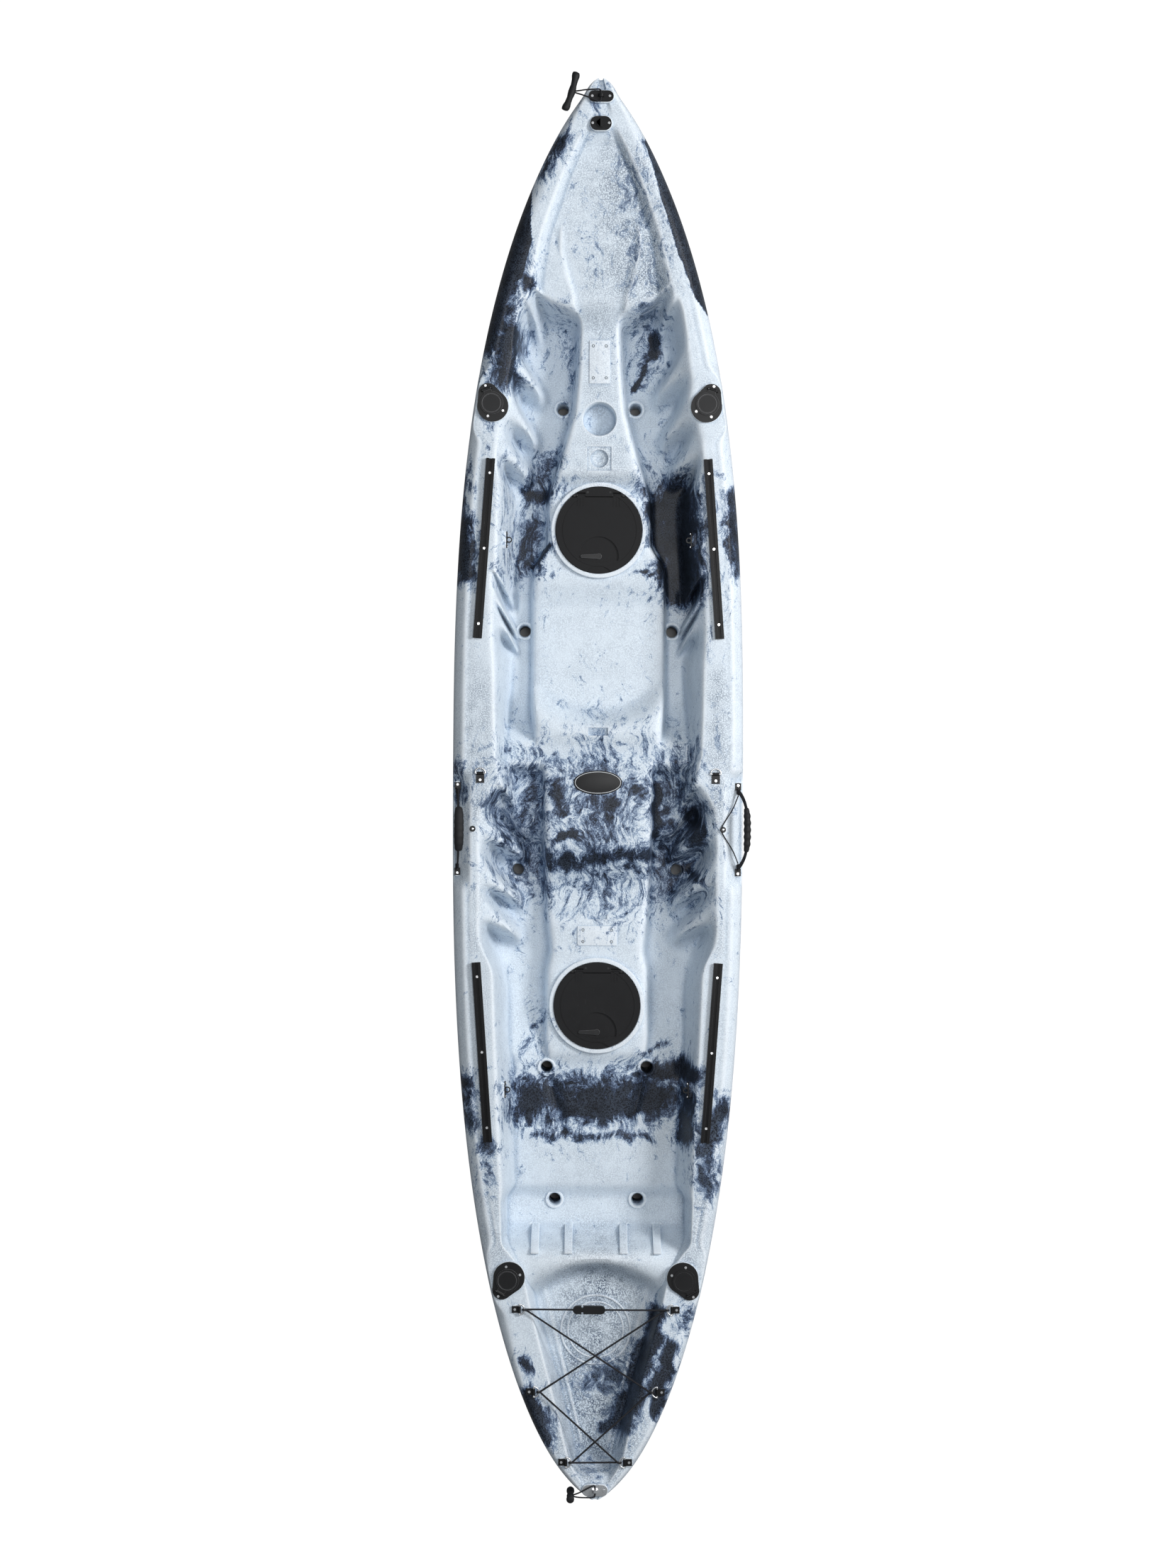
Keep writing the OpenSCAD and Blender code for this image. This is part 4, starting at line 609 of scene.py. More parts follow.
class Effects:
    """Node groups that several finishes share."""

    def __init__(self) -> None:
        """Build each group once."""
        self.grain = self._grain()
        self.scuffs = self._scuffs()
        self.marble = self._marble()
        self.weave = self._weave()

    def _grain(self) -> bpy.types.NodeTree:
        """Fine moulded grain: a height and a tone."""
        tree, g, start, end = group(
            "moulded_grain", [("Vector", "NodeSocketVector", 0.0), ("Scale", "NodeSocketFloat", 900.0)],
            [("Height", "NodeSocketFloat"), ("Tone", "NodeSocketFloat")])
        fine = g.noise(start.outputs["Vector"], start.outputs["Scale"], 2.0, 0.5)
        broad = g.noise(start.outputs["Vector"], 14.0, 3.0)
        g.feed(end.inputs["Height"], fine)
        g.feed(end.inputs["Tone"], g.weighed(fine, 0.4, broad, 0.6))
        return tree

    def _scuffs(self) -> bpy.types.NodeTree:
        """Light scuffs: thin streaks gathered in patches."""
        tree, g, start, end = group("scuffs", [("Vector", "NodeSocketVector", 0.0)],
                                    [("Mask", "NodeSocketFloat")])
        streak = g.noise(g.mapped(start.outputs["Vector"], (40.0, 320.0, 320.0), (0.0, 0.0, 0.5)), 1.0, 3.0)
        patch = g.noise(start.outputs["Vector"], 9.0, 2.0)
        lines = g.spread(streak, 0.0, 1.0, 0.62, 0.74)
        g.feed(end.inputs["Mask"], g.math("MULTIPLY", lines, g.spread(patch, 0.0, 1.0, 0.48, 0.68)))
        return tree

    def _marble(self) -> bpy.types.NodeTree:
        """Streaks of dark powder in the melt: a depth from 0, clear, to 1, black."""
        tree, g, start, end = group(
            "marbling", [("Vector", "NodeSocketVector", 0.0), ("Amount", "NodeSocketFloat", 0.0)],
            [("Depth", "NodeSocketFloat")])
        vector, amount = start.outputs["Vector"], start.outputs["Amount"]
        flow = vector
        for scale, reach in ((5.0, 0.16), (22.0, 0.05)):
            inputs = {0: g.noise(flow, scale, 2.0, 0.5, "Color"), 1: (reach, reach, reach), 2: flow}
            flow = g.node("ShaderNodeVectorMath", inputs, operation="MULTIPLY_ADD").outputs[0]
        streak = g.spread(g.noise(g.mapped(flow, (14.0, 52.0, 40.0)), 1.0, 10.0, 0.78), 0.0, 1.0, 0.3, 0.7)
        cloud = g.spread(g.noise(flow, 24.0, 10.0, 0.78), 0.0, 1.0, 0.3, 0.7)
        dust = g.noise(vector, 330.0, 2.0, 0.6)
        veil = g.weighed(streak, 1.15, cloud, 0.7)
        veil = g.math("ADD", veil, g.math("MULTIPLY", g.math("SUBTRACT", dust, 0.5), 0.7))
        cover = g.math("SUBTRACT", g.math("MULTIPLY", amount, 1.55), 1.27)
        g.feed(end.inputs["Depth"], g.math("ADD", veil, cover, clamp=True))
        return tree

    def _weave(self) -> bpy.types.NodeTree:
        """Crossed yarns: a height and a tone."""
        tree, g, start, end = group(
            "woven_yarn", [("Vector", "NodeSocketVector", 0.0), ("Scale", "NodeSocketFloat", 420.0)],
            [("Height", "NodeSocketFloat"), ("Tone", "NodeSocketFloat")])
        bands = []
        for direction in ("X", "Z"):
            inputs = {label: start.outputs[label] for label in ("Vector", "Scale")}
            wave = g.node("ShaderNodeTexWave", inputs, wave_type="BANDS", bands_direction=direction)
            bands.append(wave.outputs["Fac"])
        height = g.math("MAXIMUM", bands[0], bands[1])
        fuzz = g.noise(start.outputs["Vector"], 1500.0, 2.0)
        g.feed(end.inputs["Height"], height)
        g.feed(end.inputs["Tone"], g.weighed(height, 0.6, fuzz, 0.4))
        return tree


@dataclass(frozen=True)
class Finish:
    """A finish of one colour with a little variation."""

    name: str
    dark: Point
    light: Point
    rough: Pair
    metal: float = 0.0
    grain: float = 900.0
    bump: float = 0.06
    woven: bool = False
    bump_distance: float = 0.0006
    worn: float = 0.25
    gloss: float = 0.3

    def material(self, effects: Effects) -> bpy.types.Material:
        """Build the material from the shared effects.

        Args:
            effects: The shared node groups.

        Returns:
            The new material.
        """
        made, g, shader, coordinates = start_material(self.name)
        surface = g.node("ShaderNodeGroup", node_tree=effects.weave if self.woven else effects.grain)
        g.feed(surface.inputs["Vector"], coordinates)
        g.feed(surface.inputs["Scale"], self.grain)
        scuff = g.node("ShaderNodeGroup", node_tree=effects.scuffs)
        g.feed(scuff.inputs["Vector"], coordinates)
        tone = g.ramp(surface.outputs["Tone"], [(0.3, self.dark), (0.7, self.light)])
        pale = tuple(min(1.0, c * 1.8 + 0.02) for c in self.light)
        share = g.math("MULTIPLY", scuff.outputs["Mask"], self.worn)
        g.feed(shader.inputs["Base Color"], g.blend(share, tone, (*pale, 1.0)))
        g.feed(shader.inputs["Metallic"], self.metal)
        g.feed(shader.inputs["Specular IOR Level"], self.gloss)
        g.relief(shader, surface, self.rough, (self.bump, self.bump_distance))
        return made


@dataclass(frozen=True)
class MarbledPlastic:
    """Rotomoulded polyethylene: pale, finely speckled, with dark streaks where the melt carried them."""

    name: str = "marbled_polyethylene"
    pale: Point = (0.77, 0.85, 0.925)
    haze: Point = (0.42, 0.53, 0.68)
    slate: Point = (0.12, 0.175, 0.29)
    navy: Point = (0.017, 0.025, 0.052)
    black: Point = (0.005, 0.006, 0.010)
    speck: Point = (0.13, 0.17, 0.24)
    # Painted shade: colour multiplied into the hollows of the body
    dust: Point = (0.42, 0.5, 0.6)
    # Painted highlight: pale colour of the body's convex edges
    edge_highlight: Point = (0.9, 0.94, 0.98)
    gloss: float = 0.17
    rough: Pair = (0.34, 0.48)
    grain: float = 260.0
    bump: Pair = (0.12, 0.0008)

    def material(self, effects: Effects) -> bpy.types.Material:
        """Build the material; it reads the body's marble, speckle and hollow attributes, and paints shade
        into hollows and highlights onto edges.

        Args:
            effects: The shared node groups.

        Returns:
            The new material.
        """
        made, g, shader, coordinates = start_material(self.name)
        marble = g.node("ShaderNodeGroup", node_tree=effects.marble)
        g.feed(marble.inputs["Vector"], coordinates)
        g.feed(marble.inputs["Amount"], g.attribute("marble"))
        melt = g.ramp(marble.outputs["Depth"], [
            (0.0, self.pale), (0.13, self.haze), (0.31, self.slate), (0.5, self.navy), (0.7, self.black)])
        dots = g.noise(coordinates, 300.0, 2.0, 0.7)
        clusters = g.noise(coordinates, 26.0, 4.0, 0.65)
        fleck = g.math("MULTIPLY", g.spread(dots, 0.0, 1.0, 0.42, 0.54), g.attribute("speckle"))
        share = g.math("MULTIPLY", fleck, g.spread(clusters, 0.45, 1.0, 0.35, 0.6))
        speckled = g.blend(share, melt, (*self.speck, 1.0))
        hollow = g.attribute("hollow")
        # Painted shade: hollows are darkened by multiplying in a grey-blue
        hollow_shaded = g.blend(g.spread(hollow, 0.0, 0.55, 0.06, 0.8), speckled, (*self.dust, 1.0), "MULTIPLY")
        # Painted highlight: convex edges are lightened, except within the dark streaks
        clear = g.spread(marble.outputs["Depth"], 1.0, 0.0, 0.0, 0.3)
        edge_highlight = g.math("MULTIPLY", g.spread(hollow, 0.5, 0.0, -0.8, -0.08), clear)
        g.feed(shader.inputs["Base Color"], g.blend(edge_highlight, hollow_shaded, (*self.edge_highlight, 1.0)))
        surface = g.node("ShaderNodeGroup", node_tree=effects.grain)
        g.feed(surface.inputs["Vector"], coordinates)
        g.feed(surface.inputs["Scale"], self.grain)
        g.feed(shader.inputs["Specular IOR Level"], self.gloss)
        g.relief(shader, surface, self.rough, self.bump)
        return made


class Palette:
    """The materials of the boat, built once."""

    HULL = MarbledPlastic()
    BLACK = Finish("black_plastic", (0.004, 0.004, 0.005), (0.009, 0.009, 0.010), (0.36, 0.5))
    LID = Finish("lid_plastic", (0.012, 0.012, 0.013), (0.019, 0.019, 0.020), (0.42, 0.55), grain=700.0,
                 bump=0.1, gloss=0.1)
    TRACK = Finish("track_plastic", (0.004, 0.004, 0.005), (0.009, 0.009, 0.010), (0.34, 0.46), grain=500.0,
                   gloss=0.16)
    STEEL = Finish("stainless_steel", (0.66, 0.66, 0.67), (0.82, 0.82, 0.83), (0.2, 0.34), metal=0.8,
                   grain=1600.0, bump=0.03, worn=0.1)
    RUBBER = Finish("rubber", (0.008, 0.008, 0.009), (0.018, 0.018, 0.02), (0.55, 0.72), grain=600.0,
                    bump=0.15)
    CORD = Finish("braided_cord", (0.006, 0.006, 0.007), (0.022, 0.022, 0.026), (0.6, 0.8), grain=300.0,
                  bump=0.4, woven=True, worn=0.0)
    WEBBING = Finish("webbing", (0.006, 0.006, 0.008), (0.02, 0.02, 0.024), (0.65, 0.85), grain=240.0,
                     bump=0.4, woven=True, worn=0.0)
    BRASS = Finish("brass", (0.35, 0.25, 0.1), (0.5, 0.36, 0.15), (0.25, 0.4), metal=1.0, worn=0.1)
    # Paler grey for the bevels of black fittings: a painted highlight
    EDGE_HIGHLIGHT = Finish("painted_edge_highlight", (0.1, 0.1, 0.105), (0.16, 0.16, 0.165), (0.3, 0.42), worn=0.0)
    PLATE_RIM = Finish("plate_rim", (0.7, 0.72, 0.74), (0.8, 0.82, 0.84), (0.35, 0.5), worn=0.1)

    def __init__(self, effects: Effects) -> None:
        """Build a material for each finish."""
        finishes = [self.BLACK, self.LID, self.TRACK, self.STEEL, self.RUBBER, self.CORD, self.WEBBING,
                    self.BRASS, self.EDGE_HIGHLIGHT, self.PLATE_RIM, self.HULL]
        self.materials = {finish.name: finish.material(effects) for finish in finishes}

    def dress(self, obj: Obj, *finishes: Finish | MarbledPlastic) -> None:
        """Give an object its finishes, the main one first."""
        obj.data.materials.clear()
        for finish in finishes:
            obj.data.materials.append(self.materials[finish.name])

    def fit(self, piece: Obj, finish: Finish | MarbledPlastic, angle: float, body: str,
            slot: str, *nodes: str) -> list[str]:
        """Dress a piece and enter it in the frame.

        Args:
            piece: The modelled piece.
            finish: Its finish.
            angle: Least turn that stays a sharp edge, in degrees.
            body: The body that it rides on.
            slot: Its material slot; not used.
            nodes: The nodes that it stands for, if any.

        Returns:
            The same nodes.
        """
        self.dress(piece, finish)
        shade(piece, angle)
        enter(piece, body, slot, *nodes)
        return list(nodes)


def enter(piece: Obj, body: str, slot: str, *nodes: str) -> None:
    """Attach a piece to the body that it rides on and hide the nodes that it stands for, if any."""
    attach(piece, body)
    if nodes:
        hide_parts(*nodes)
    LOG.info("%s rides on %s", piece.name, body)


# Moulded body


@dataclass
class HullLines:
    """Lines of the hull, in millimetres."""

    half_length: float = 1900.0
    half_width: float = 394.0
    side_deck: float = 300.0
    seam: float = 250.0
    bow_rise: float = 95.0
    stern_rise: float = 60.0
    stem_rise: float = 265.0
    keel_flat: float = 1400.0
    tip_radius: float = 46.0
    gunwale_width: float = 44.0
    bow_flat: float = 950.0
    stern_flat: float = -1050.0
    handle_x: float = HANDLE[0]
    handle_length: float = 236.0
    recess: float = 22.0
    # Start and run of the stern's narrower gunwale, and the share that it loses
    taper: Point = (1330.0, 300.0, 0.5)
    # Middle and half length of the places where the gunwale gives way to a rod holder, their easing and share
    rod_rooms: Sequence[Pair] = ((1044.0, 62.0), (-1320.0, 56.0))
    room_edge: float = 45.0
    room_share: float = 0.74
    section: Sequence[Pair] = ((0, 0), (0.17, 0), (0.27, 0.05), (0.44, 0.085), (0.58, 0.02), (0.64, 0),
                               (0.72, 0), (0.84, 0.07), (0.93, 0.26), (0.98, 0.6), (1, 1))

    def half_beam(self, x: Array) -> Array:
        """Half beam at the seam."""
        share = np.minimum(1.0, np.abs(x) / self.half_length)
        bow = np.maximum(0.0, 1.0 - share ** 2.9) ** 0.75
        stern = np.maximum(0.0, 1.0 - share ** 2.6) ** 0.6
        reach = np.clip(np.abs(x) - (self.half_length - self.tip_radius), 0.0, self.tip_radius)
        nose = np.where(reach > 0, np.sqrt(np.maximum(0.0, self.tip_radius ** 2 - reach ** 2)), 0.0)
        return np.maximum(self.half_width * np.where(x > 0, bow, stern), nose)

    def side_z(self, x: Array) -> Array:
        """Height of the side decks."""
        bow = self.bow_rise * (np.maximum(0.0, x - self.bow_flat) / (self.half_length - self.bow_flat)) ** 2
        reach = np.minimum(0.0, x - self.stern_flat) / (self.half_length + self.stern_flat)
        return self.side_deck + bow + self.stern_rise * reach ** 2

    def height(self, x: float) -> float:
        """Height of the side decks at one place."""
        return float(self.side_z(np.array([x]))[0])

    def seam_z(self, x: Array) -> Array:
        """Height of the mould seam."""
        steps = [(0, 0), (self.bow_flat, 0), (1350, 0.17), (1650, 0.5), (self.half_length, 1)]
        return self.seam + along(np.abs(x), steps) * np.where(x > 0, self.bow_rise, self.stern_rise)

    def keel_z(self, x: Array) -> Array:
        """Height of the keel."""
        half = self.keel_flat / 2.0
        return self.stem_rise * (np.maximum(0.0, np.abs(x) - half) / (self.half_length - half)) ** 3

    def gunwale(self, x: Array) -> Array:
        """Width of the rounded gunwale."""
        start, run, loss = self.taper
        taper = np.where(x < 0, loss * smooth((-x - start) / run), 0.0)
        rods = np.max([window(x, middle, half, self.room_edge) for middle, half in self.rod_rooms], axis=0)
        full = self.gunwale_width * (1 - taper) * (1 - self.room_share * rods)
        return np.minimum(full, 0.3 * self.half_beam(x))

    def flat_edge(self, x: Array) -> Array:
        """Half width of the flat of the deck."""
        return self.half_beam(x) - self.gunwale(x)

    def handle_recess(self, x: Array, y: Array) -> Array:
        """Depth of the recess that a side handle lies in."""
        line = self.half_width - 14.0
        return (self.recess * window(x, self.handle_x, self.handle_length / 2 + 16.0, 30.0)
                * smooth((y - line + 35.0) / 25.0))

    def hull_row(self, x: Array, shares: Array) -> Array:
        """Points of the hull below the seam.

        Args:
            x: Places along the boat, one per row.
            shares: Shares of the half beam, signed, one per column.

        Returns:
            An array of rows, columns and coordinates.
        """
        climb = along(np.abs(shares), self.section)
        grid = np.zeros((len(x), len(shares), 3))
        grid[:, :, 0] = x[:, None]
        grid[:, :, 1] = self.half_beam(x)[:, None] * shares[None, :]
        grid[:, :, 2] = mix(self.keel_z(x)[:, None], self.seam_z(x)[:, None], climb[None, :])
        return grid


@dataclass
class DeckLines:
    """Lines of the deck: plan and heights of its cockpits, in millimetres."""

    hull: HullLines = field(default_factory=HullLines)
    floor_h: float = 120.0
    console_h: float = 230.0
    platform_h: float = 198.0
    rear_platform_h: float = 186.0
    seat_h: float = 172.0
    mid_h: float = 232.0
    rear_seat_h: float = 168.0
    groove_d: float = 12.0
    pocket_d: float = 24.0
    well_floor: float = 222.0
    dish: float = 22.0
    well_x: float = 1272.0
    well_bend: float = 35.0
    console_wall: float = 12.0
    step_rake: float = 124.0
    step_edge: float = 12.0
    step_tip: float = 20.0
    step_wall: float = 90.0
    step_tips: Sequence[float] = (1088.0, 962.0, 866.24, -172.0, -298.0, -393.76, 386.0, 304.1)
    # Middle and half length of each run of steps
    step_runs: Sequence[Pair] = ((974.6, 195.3), (-285.4, 195.3), (348.2, 113.4))

    def __post_init__(self) -> None:
        """Lay out the lines from bow to stern."""
        side = self.hull.height
        well = self.well_x
        self.middle = [
            (1450, 105), (well, 52), (1140, 57), (1034, 67), (873, 110), (807, 134.5), (672, 134.5),
            (615, 172), (545, 176), (170, 176), (60, 142), (-145, 142), (-330, 134), (-440, 122),
            (-494, 134.5), (-684, 134.5), (-765, 120), (-1286, 110), (-1828, 30)]
        self.floor = [
            (1900, 3), (1775, 22), (1650, 75), (1500, 128), (well + 74, 150), (well - 12, 138), (1100, 150),
            (900, 176), (800, 205), (600, 220), (200, 226), (150, 240), (70, 250), (50, 216), (-130, 205),
            (-160, 196), (-420, 206), (-480, 238), (-690, 234), (-770, 222), (-1083, 212), (-1116, 240),
            (-1230, 240), (-1291, 165), (-1350, 157), (-1800, 46), (-1850, 28), (-1900, 3)]
        self.wall = [
            (1900, 6), (1790, 40), (1650, 112), (1500, 168), (well + 74, 205), (well + 18, 222), (1150, 243),
            (1044, 243), (961, 276), (700, 285), (300, 290), (100, 285), (20, 272), (-60, 320), (-420, 320),
            (-470, 290), (-900, 274), (-1116, 262), (-1230, 258), (-1292, 196), (-1350, 191), (-1800, 74),
            (-1850, 45), (-1900, 6)]
        bow = [(1800, side(1800)), (1720, side(1720) - self.dish), (1520, side(1520) - self.dish)]
        groove = [(140, self.mid_h), (134, self.mid_h - self.groove_d), (86, self.mid_h - self.groove_d),
                  (80, self.mid_h)]
        pocket = [(-1086, self.rear_seat_h), (-1106, self.rear_seat_h - self.pocket_d),
                  (-1206, self.rear_seat_h - self.pocket_d), (-1252, side(-1230) - 8)]
        stern = [(-1274, side(-1286) - 6), (-1306, self.well_floor), (-1800, self.well_floor),
                 (-1850, side(-1850))]
        self.middle_height = bow + [
            (well + 60, 0.6 * side(well) + 0.4 * self.console_h), (1248, self.console_h),
            (865, self.console_h), (835.5, self.platform_h), (580.5, self.platform_h),
            (505, self.seat_h + 4), (213, self.seat_h), (167, self.mid_h)] + groove + [
            (-145, self.mid_h), (-270, self.rear_platform_h - 14), (-332, self.rear_platform_h - 14),
            (-348, self.rear_platform_h), (-720.5, self.rear_platform_h),
            (-745, self.rear_seat_h)] + pocket + stern
        self.floor_height = bow + [
            (well + 18, side(well) - self.dish - 8), (well - 12, self.floor_h), (150, self.floor_h),
            (141, self.mid_h)] + groove + [
            (66, self.mid_h), (48, self.mid_h - 46), (-108, self.mid_h - 56), (-150, self.floor_h),
            (-529, self.floor_h), (-765, self.rear_seat_h)] + pocket + stern
        self.bend = [(1440, 0), (well + 18, self.well_bend), (well - 12, self.well_bend), (1120, 0), (470, 0),
                     (213, 138.6), (167, 75.6), (141, 0), (-1254, 0), (-1274, -62), (-1336, -62), (-1600, 0)]
        r = self.step_rake
        self.rake = [(well + 88, 0), (1180, r), (710, r), (610, 0), (466, r), (276, r), (140, 0), (110, 0),
                     (-152, r), (-474.4, r), (-700, 0)]

    def step_shape(self, u: Array, q: float) -> Array:
        """Foot steps at a share q of the way across the footwell wall."""
        best = np.zeros_like(u)
        width = mix(self.step_tip, self.step_wall, q)
        for tip in self.step_tips:
            one = smooth((tip - u) / self.step_edge + 0.5) * smooth((u - tip + width) / self.step_edge + 0.5)
            best = np.maximum(best, one)
        return best

    def step_zone(self, u: Array) -> Array:
        """Where the footwell walls carry steps."""
        return np.max([window(u, middle, half, 40.0) for middle, half in self.step_runs], axis=0)

    def wall_climb(self, u: Array, q: float) -> Array:
        """Share of the climb from floor to side deck."""
        plain = smooth(np.array((q - 0.1) / 0.8))
        top = smooth(np.array(q / 0.12)) * mix(0.42, 1.0, q)
        pocket = smooth(np.array((q - 0.62) / 0.38))
        return mix(plain, mix(pocket, top, self.step_shape(u, q)), self.step_zone(u))

    def column(self, u: Array, zone: int, s: float) -> Array:
        """Points of one column of the port half deck.

        Args:
            u: Stations along the boat.
            zone: Zone of the half section, from the middle (0) to the gunwale (5).
            s: Share of the way across the zone.

        Returns:
            One row per station.
        """
        hull = self.hull
        f = along(u, self.floor)
        foot = np.minimum(self.console_wall, 0.3 * f)
        m = np.minimum(along(u, self.middle), 0.9 * f - foot)
        edges = [np.zeros_like(u), m, m + foot, f]
        bend, rake = along(u, self.bend), along(u, self.rake)
        t = along(u + bend + rake, self.wall)
        inner = mix(edges[zone], edges[zone + 1], s) if zone < 3 else f
        q = 0.0 if zone < 3 else s if zone == 3 else 1.0
        x = u + bend * (inner / f) ** 2 + rake * q
        middle, floor = eased(u, self.middle_height), eased(u, self.floor_height)
        low = middle if zone == 0 else mix(middle, floor, smooth(np.array(s))) if zone == 1 else floor
        if zone < 3:
            y, z = inner, low
        elif zone == 3:
            y, z = mix(f, t, s), mix(low, hull.side_z(x), self.wall_climb(u, q))
        elif zone == 4:
            y, z = mix(t, hull.flat_edge(x), s), hull.side_z(x)
        else:
            y = mix(hull.flat_edge(x), hull.half_beam(x), math.sin(math.pi / 2 * s))
            z = mix(hull.seam_z(x), hull.side_z(x), math.cos(math.pi / 2 * s))
        if zone >= 4:
            z = np.maximum(z - hull.handle_recess(x, y), np.minimum(z, hull.seam_z(x) + 6.0))
        return np.stack([x, y, z], axis=1)


@dataclass(frozen=True)
class Streak:
    """A place where dark powder gathered in the melt, in plan."""

    a: Pair
    b: Pair
    half: float
    depth: float


def streaks(rows: Sequence[Sequence[float]]) -> list[Streak]:
    """Read streaks from rows of both ends, half width and depth."""
    return [Streak((x, y), (to_x, to_y), half, depth) for x, y, to_x, to_y, half, depth in rows]


STREAKS = streaks((
    (1745, 100, 1660, 150, 28, 0.62), (1437, 253, 1231, 300, 60, 0.85), (1240, 240, 1125, 262, 45, 0.8),
    (1364, 200, 1364, 200, 26, 0.95), (1239, 226, 1239, 226, 28, 0.85), (1671, -91, 1378, -135, 85, 0.26),
    (1300, -130, 1165, -130, 58, 0.36), (1250, -150, 1205, -138, 26, 0.85),
    (1180, -130, 1107, -102, 6, 0.9), (1276, 120, 1210, 92, 52, 0.3), (1230, 62, 1000, 88, 20, 0.25),
    (900, 130, 830, 190, 40, 0.5), (1010, 310, 975, 300, 12, 0.5), (805, 190, 820, 140, 36, 0.72),
    (715, 180, 615, 195, 52, 0.55), (613, 190, 665, 132, 8, 0.9), (720, 364, 590, 368, 34, 0.92),
    (860, 368, 740, 366, 34, 0.5), (795, -205, 565, -232, 66, 0.98), (790, -150, 613, -172, 16, 0.95),
    (600, -235, 520, -240, 34, 0.6), (790, -368, 600, -366, 30, 0.75), (595, -98, 592, -171, 6, 0.7),
    (830, -120, 800, -160, 30, 0.6), (900, 250, 600, 250, 70, 0.24), (880, -170, 560, -200, 90, 0.26),
    (30, 200, -230, 180, 120, 0.42), (30, -200, -230, -190, 120, 0.46), (20, 0, -230, 0, 150, 0.46),
    (20, 118, -55, 104, 30, 0.7), (-30, -46, -62, -24, 26, 0.66), (0, -98, -20, -120, 34, 0.62),
    (10, -156, -115, -158, 16, 0.95), (-58, -262, -140, -275, 34, 0.75), (-127, 118, -127, 60, 13, 0.95),
    (-193, 115, -180, -134, 38, 0.68), (-30, 292, -140, 244, 52, 0.42), (-200, -235, -240, -270, 24, 0.6),
    (60, 374, -10, 372, 26, 0.5), (-850, 185, -836, -190, 74, 0.74), (-880, 60, -852, -155, 42, 0.92),
    (-805, 108, -845, 90, 20, 0.85), (-768, -150, -764, -250, 30, 0.95), (-822, -250, -940, -236, 30, 0.8),
    (-860, -345, -965, -300, 36, 0.72), (-785, 358, -900, 344, 34, 0.6), (-954, 290, -975, 300, 26, 0.66),
    (-700, -190, -715, -120, 12, 0.5), (-640, 150, -700, 190, 40, 0.3), (-943, 176, -952, -150, 18, 0.55),
    (-1010, -300, -1060, -300, 44, 0.5), (-990, 305, -1080, 300, 40, 0.3),
    (-1420, -166, -1632, -108, 26, 1.0), (-1632, -108, -1735, -52, 26, 0.98),
    (-1500, -196, -1660, -158, 24, 0.9), (-1625, 178, -1730, 140, 26, 0.92),
    (-1618, 30, -1588, -50, 46, 0.5), (-1550, 190, -1560, 184, 26, 0.6),
    (-1395, -250, -1440, -245, 40, 0.4), (-1800, 40, -1840, -10, 40, 0.25), (1860, 0, 1770, 70, 50, 0.24),
    (1560, 60, 1400, 40, 90, 0.12),
))
# Dusting of fine specks, with its strength as the depth
DUSTING = streaks((
    (1650, -60, 1380, -110, 120, 0.95), (1740, 30, 1500, 60, 90, 0.45), (1400, 0, 1080, 0, 70, 0.6),
    (900, 0, 850, 0, 130, 0.6), (300, 320, -60, 330, 50, 0.7), (300, -320, -60, -330, 50, 0.75),
    (200, 0, 60, 0, 220, 0.35), (-900, 320, -1300, 260, 60, 0.6), (-900, -320, -1300, -260, 60, 0.65),
    (-1330, 0, -1760, 0, 150, 1.0), (-240, 320, -420, 330, 40, 0.5), (-240, -320, -420, -330, 40, 0.5),
    (-940, 0, -1010, 0, 200, 0.35), (-380, 0, -700, 0, 120, 0.15),
))


class Maker(Protocol):
    """Anything that models pieces of the boat."""

    def build(self, palette: Palette) -> list[str]:
        """Make the pieces and return the nodes that they stand for."""


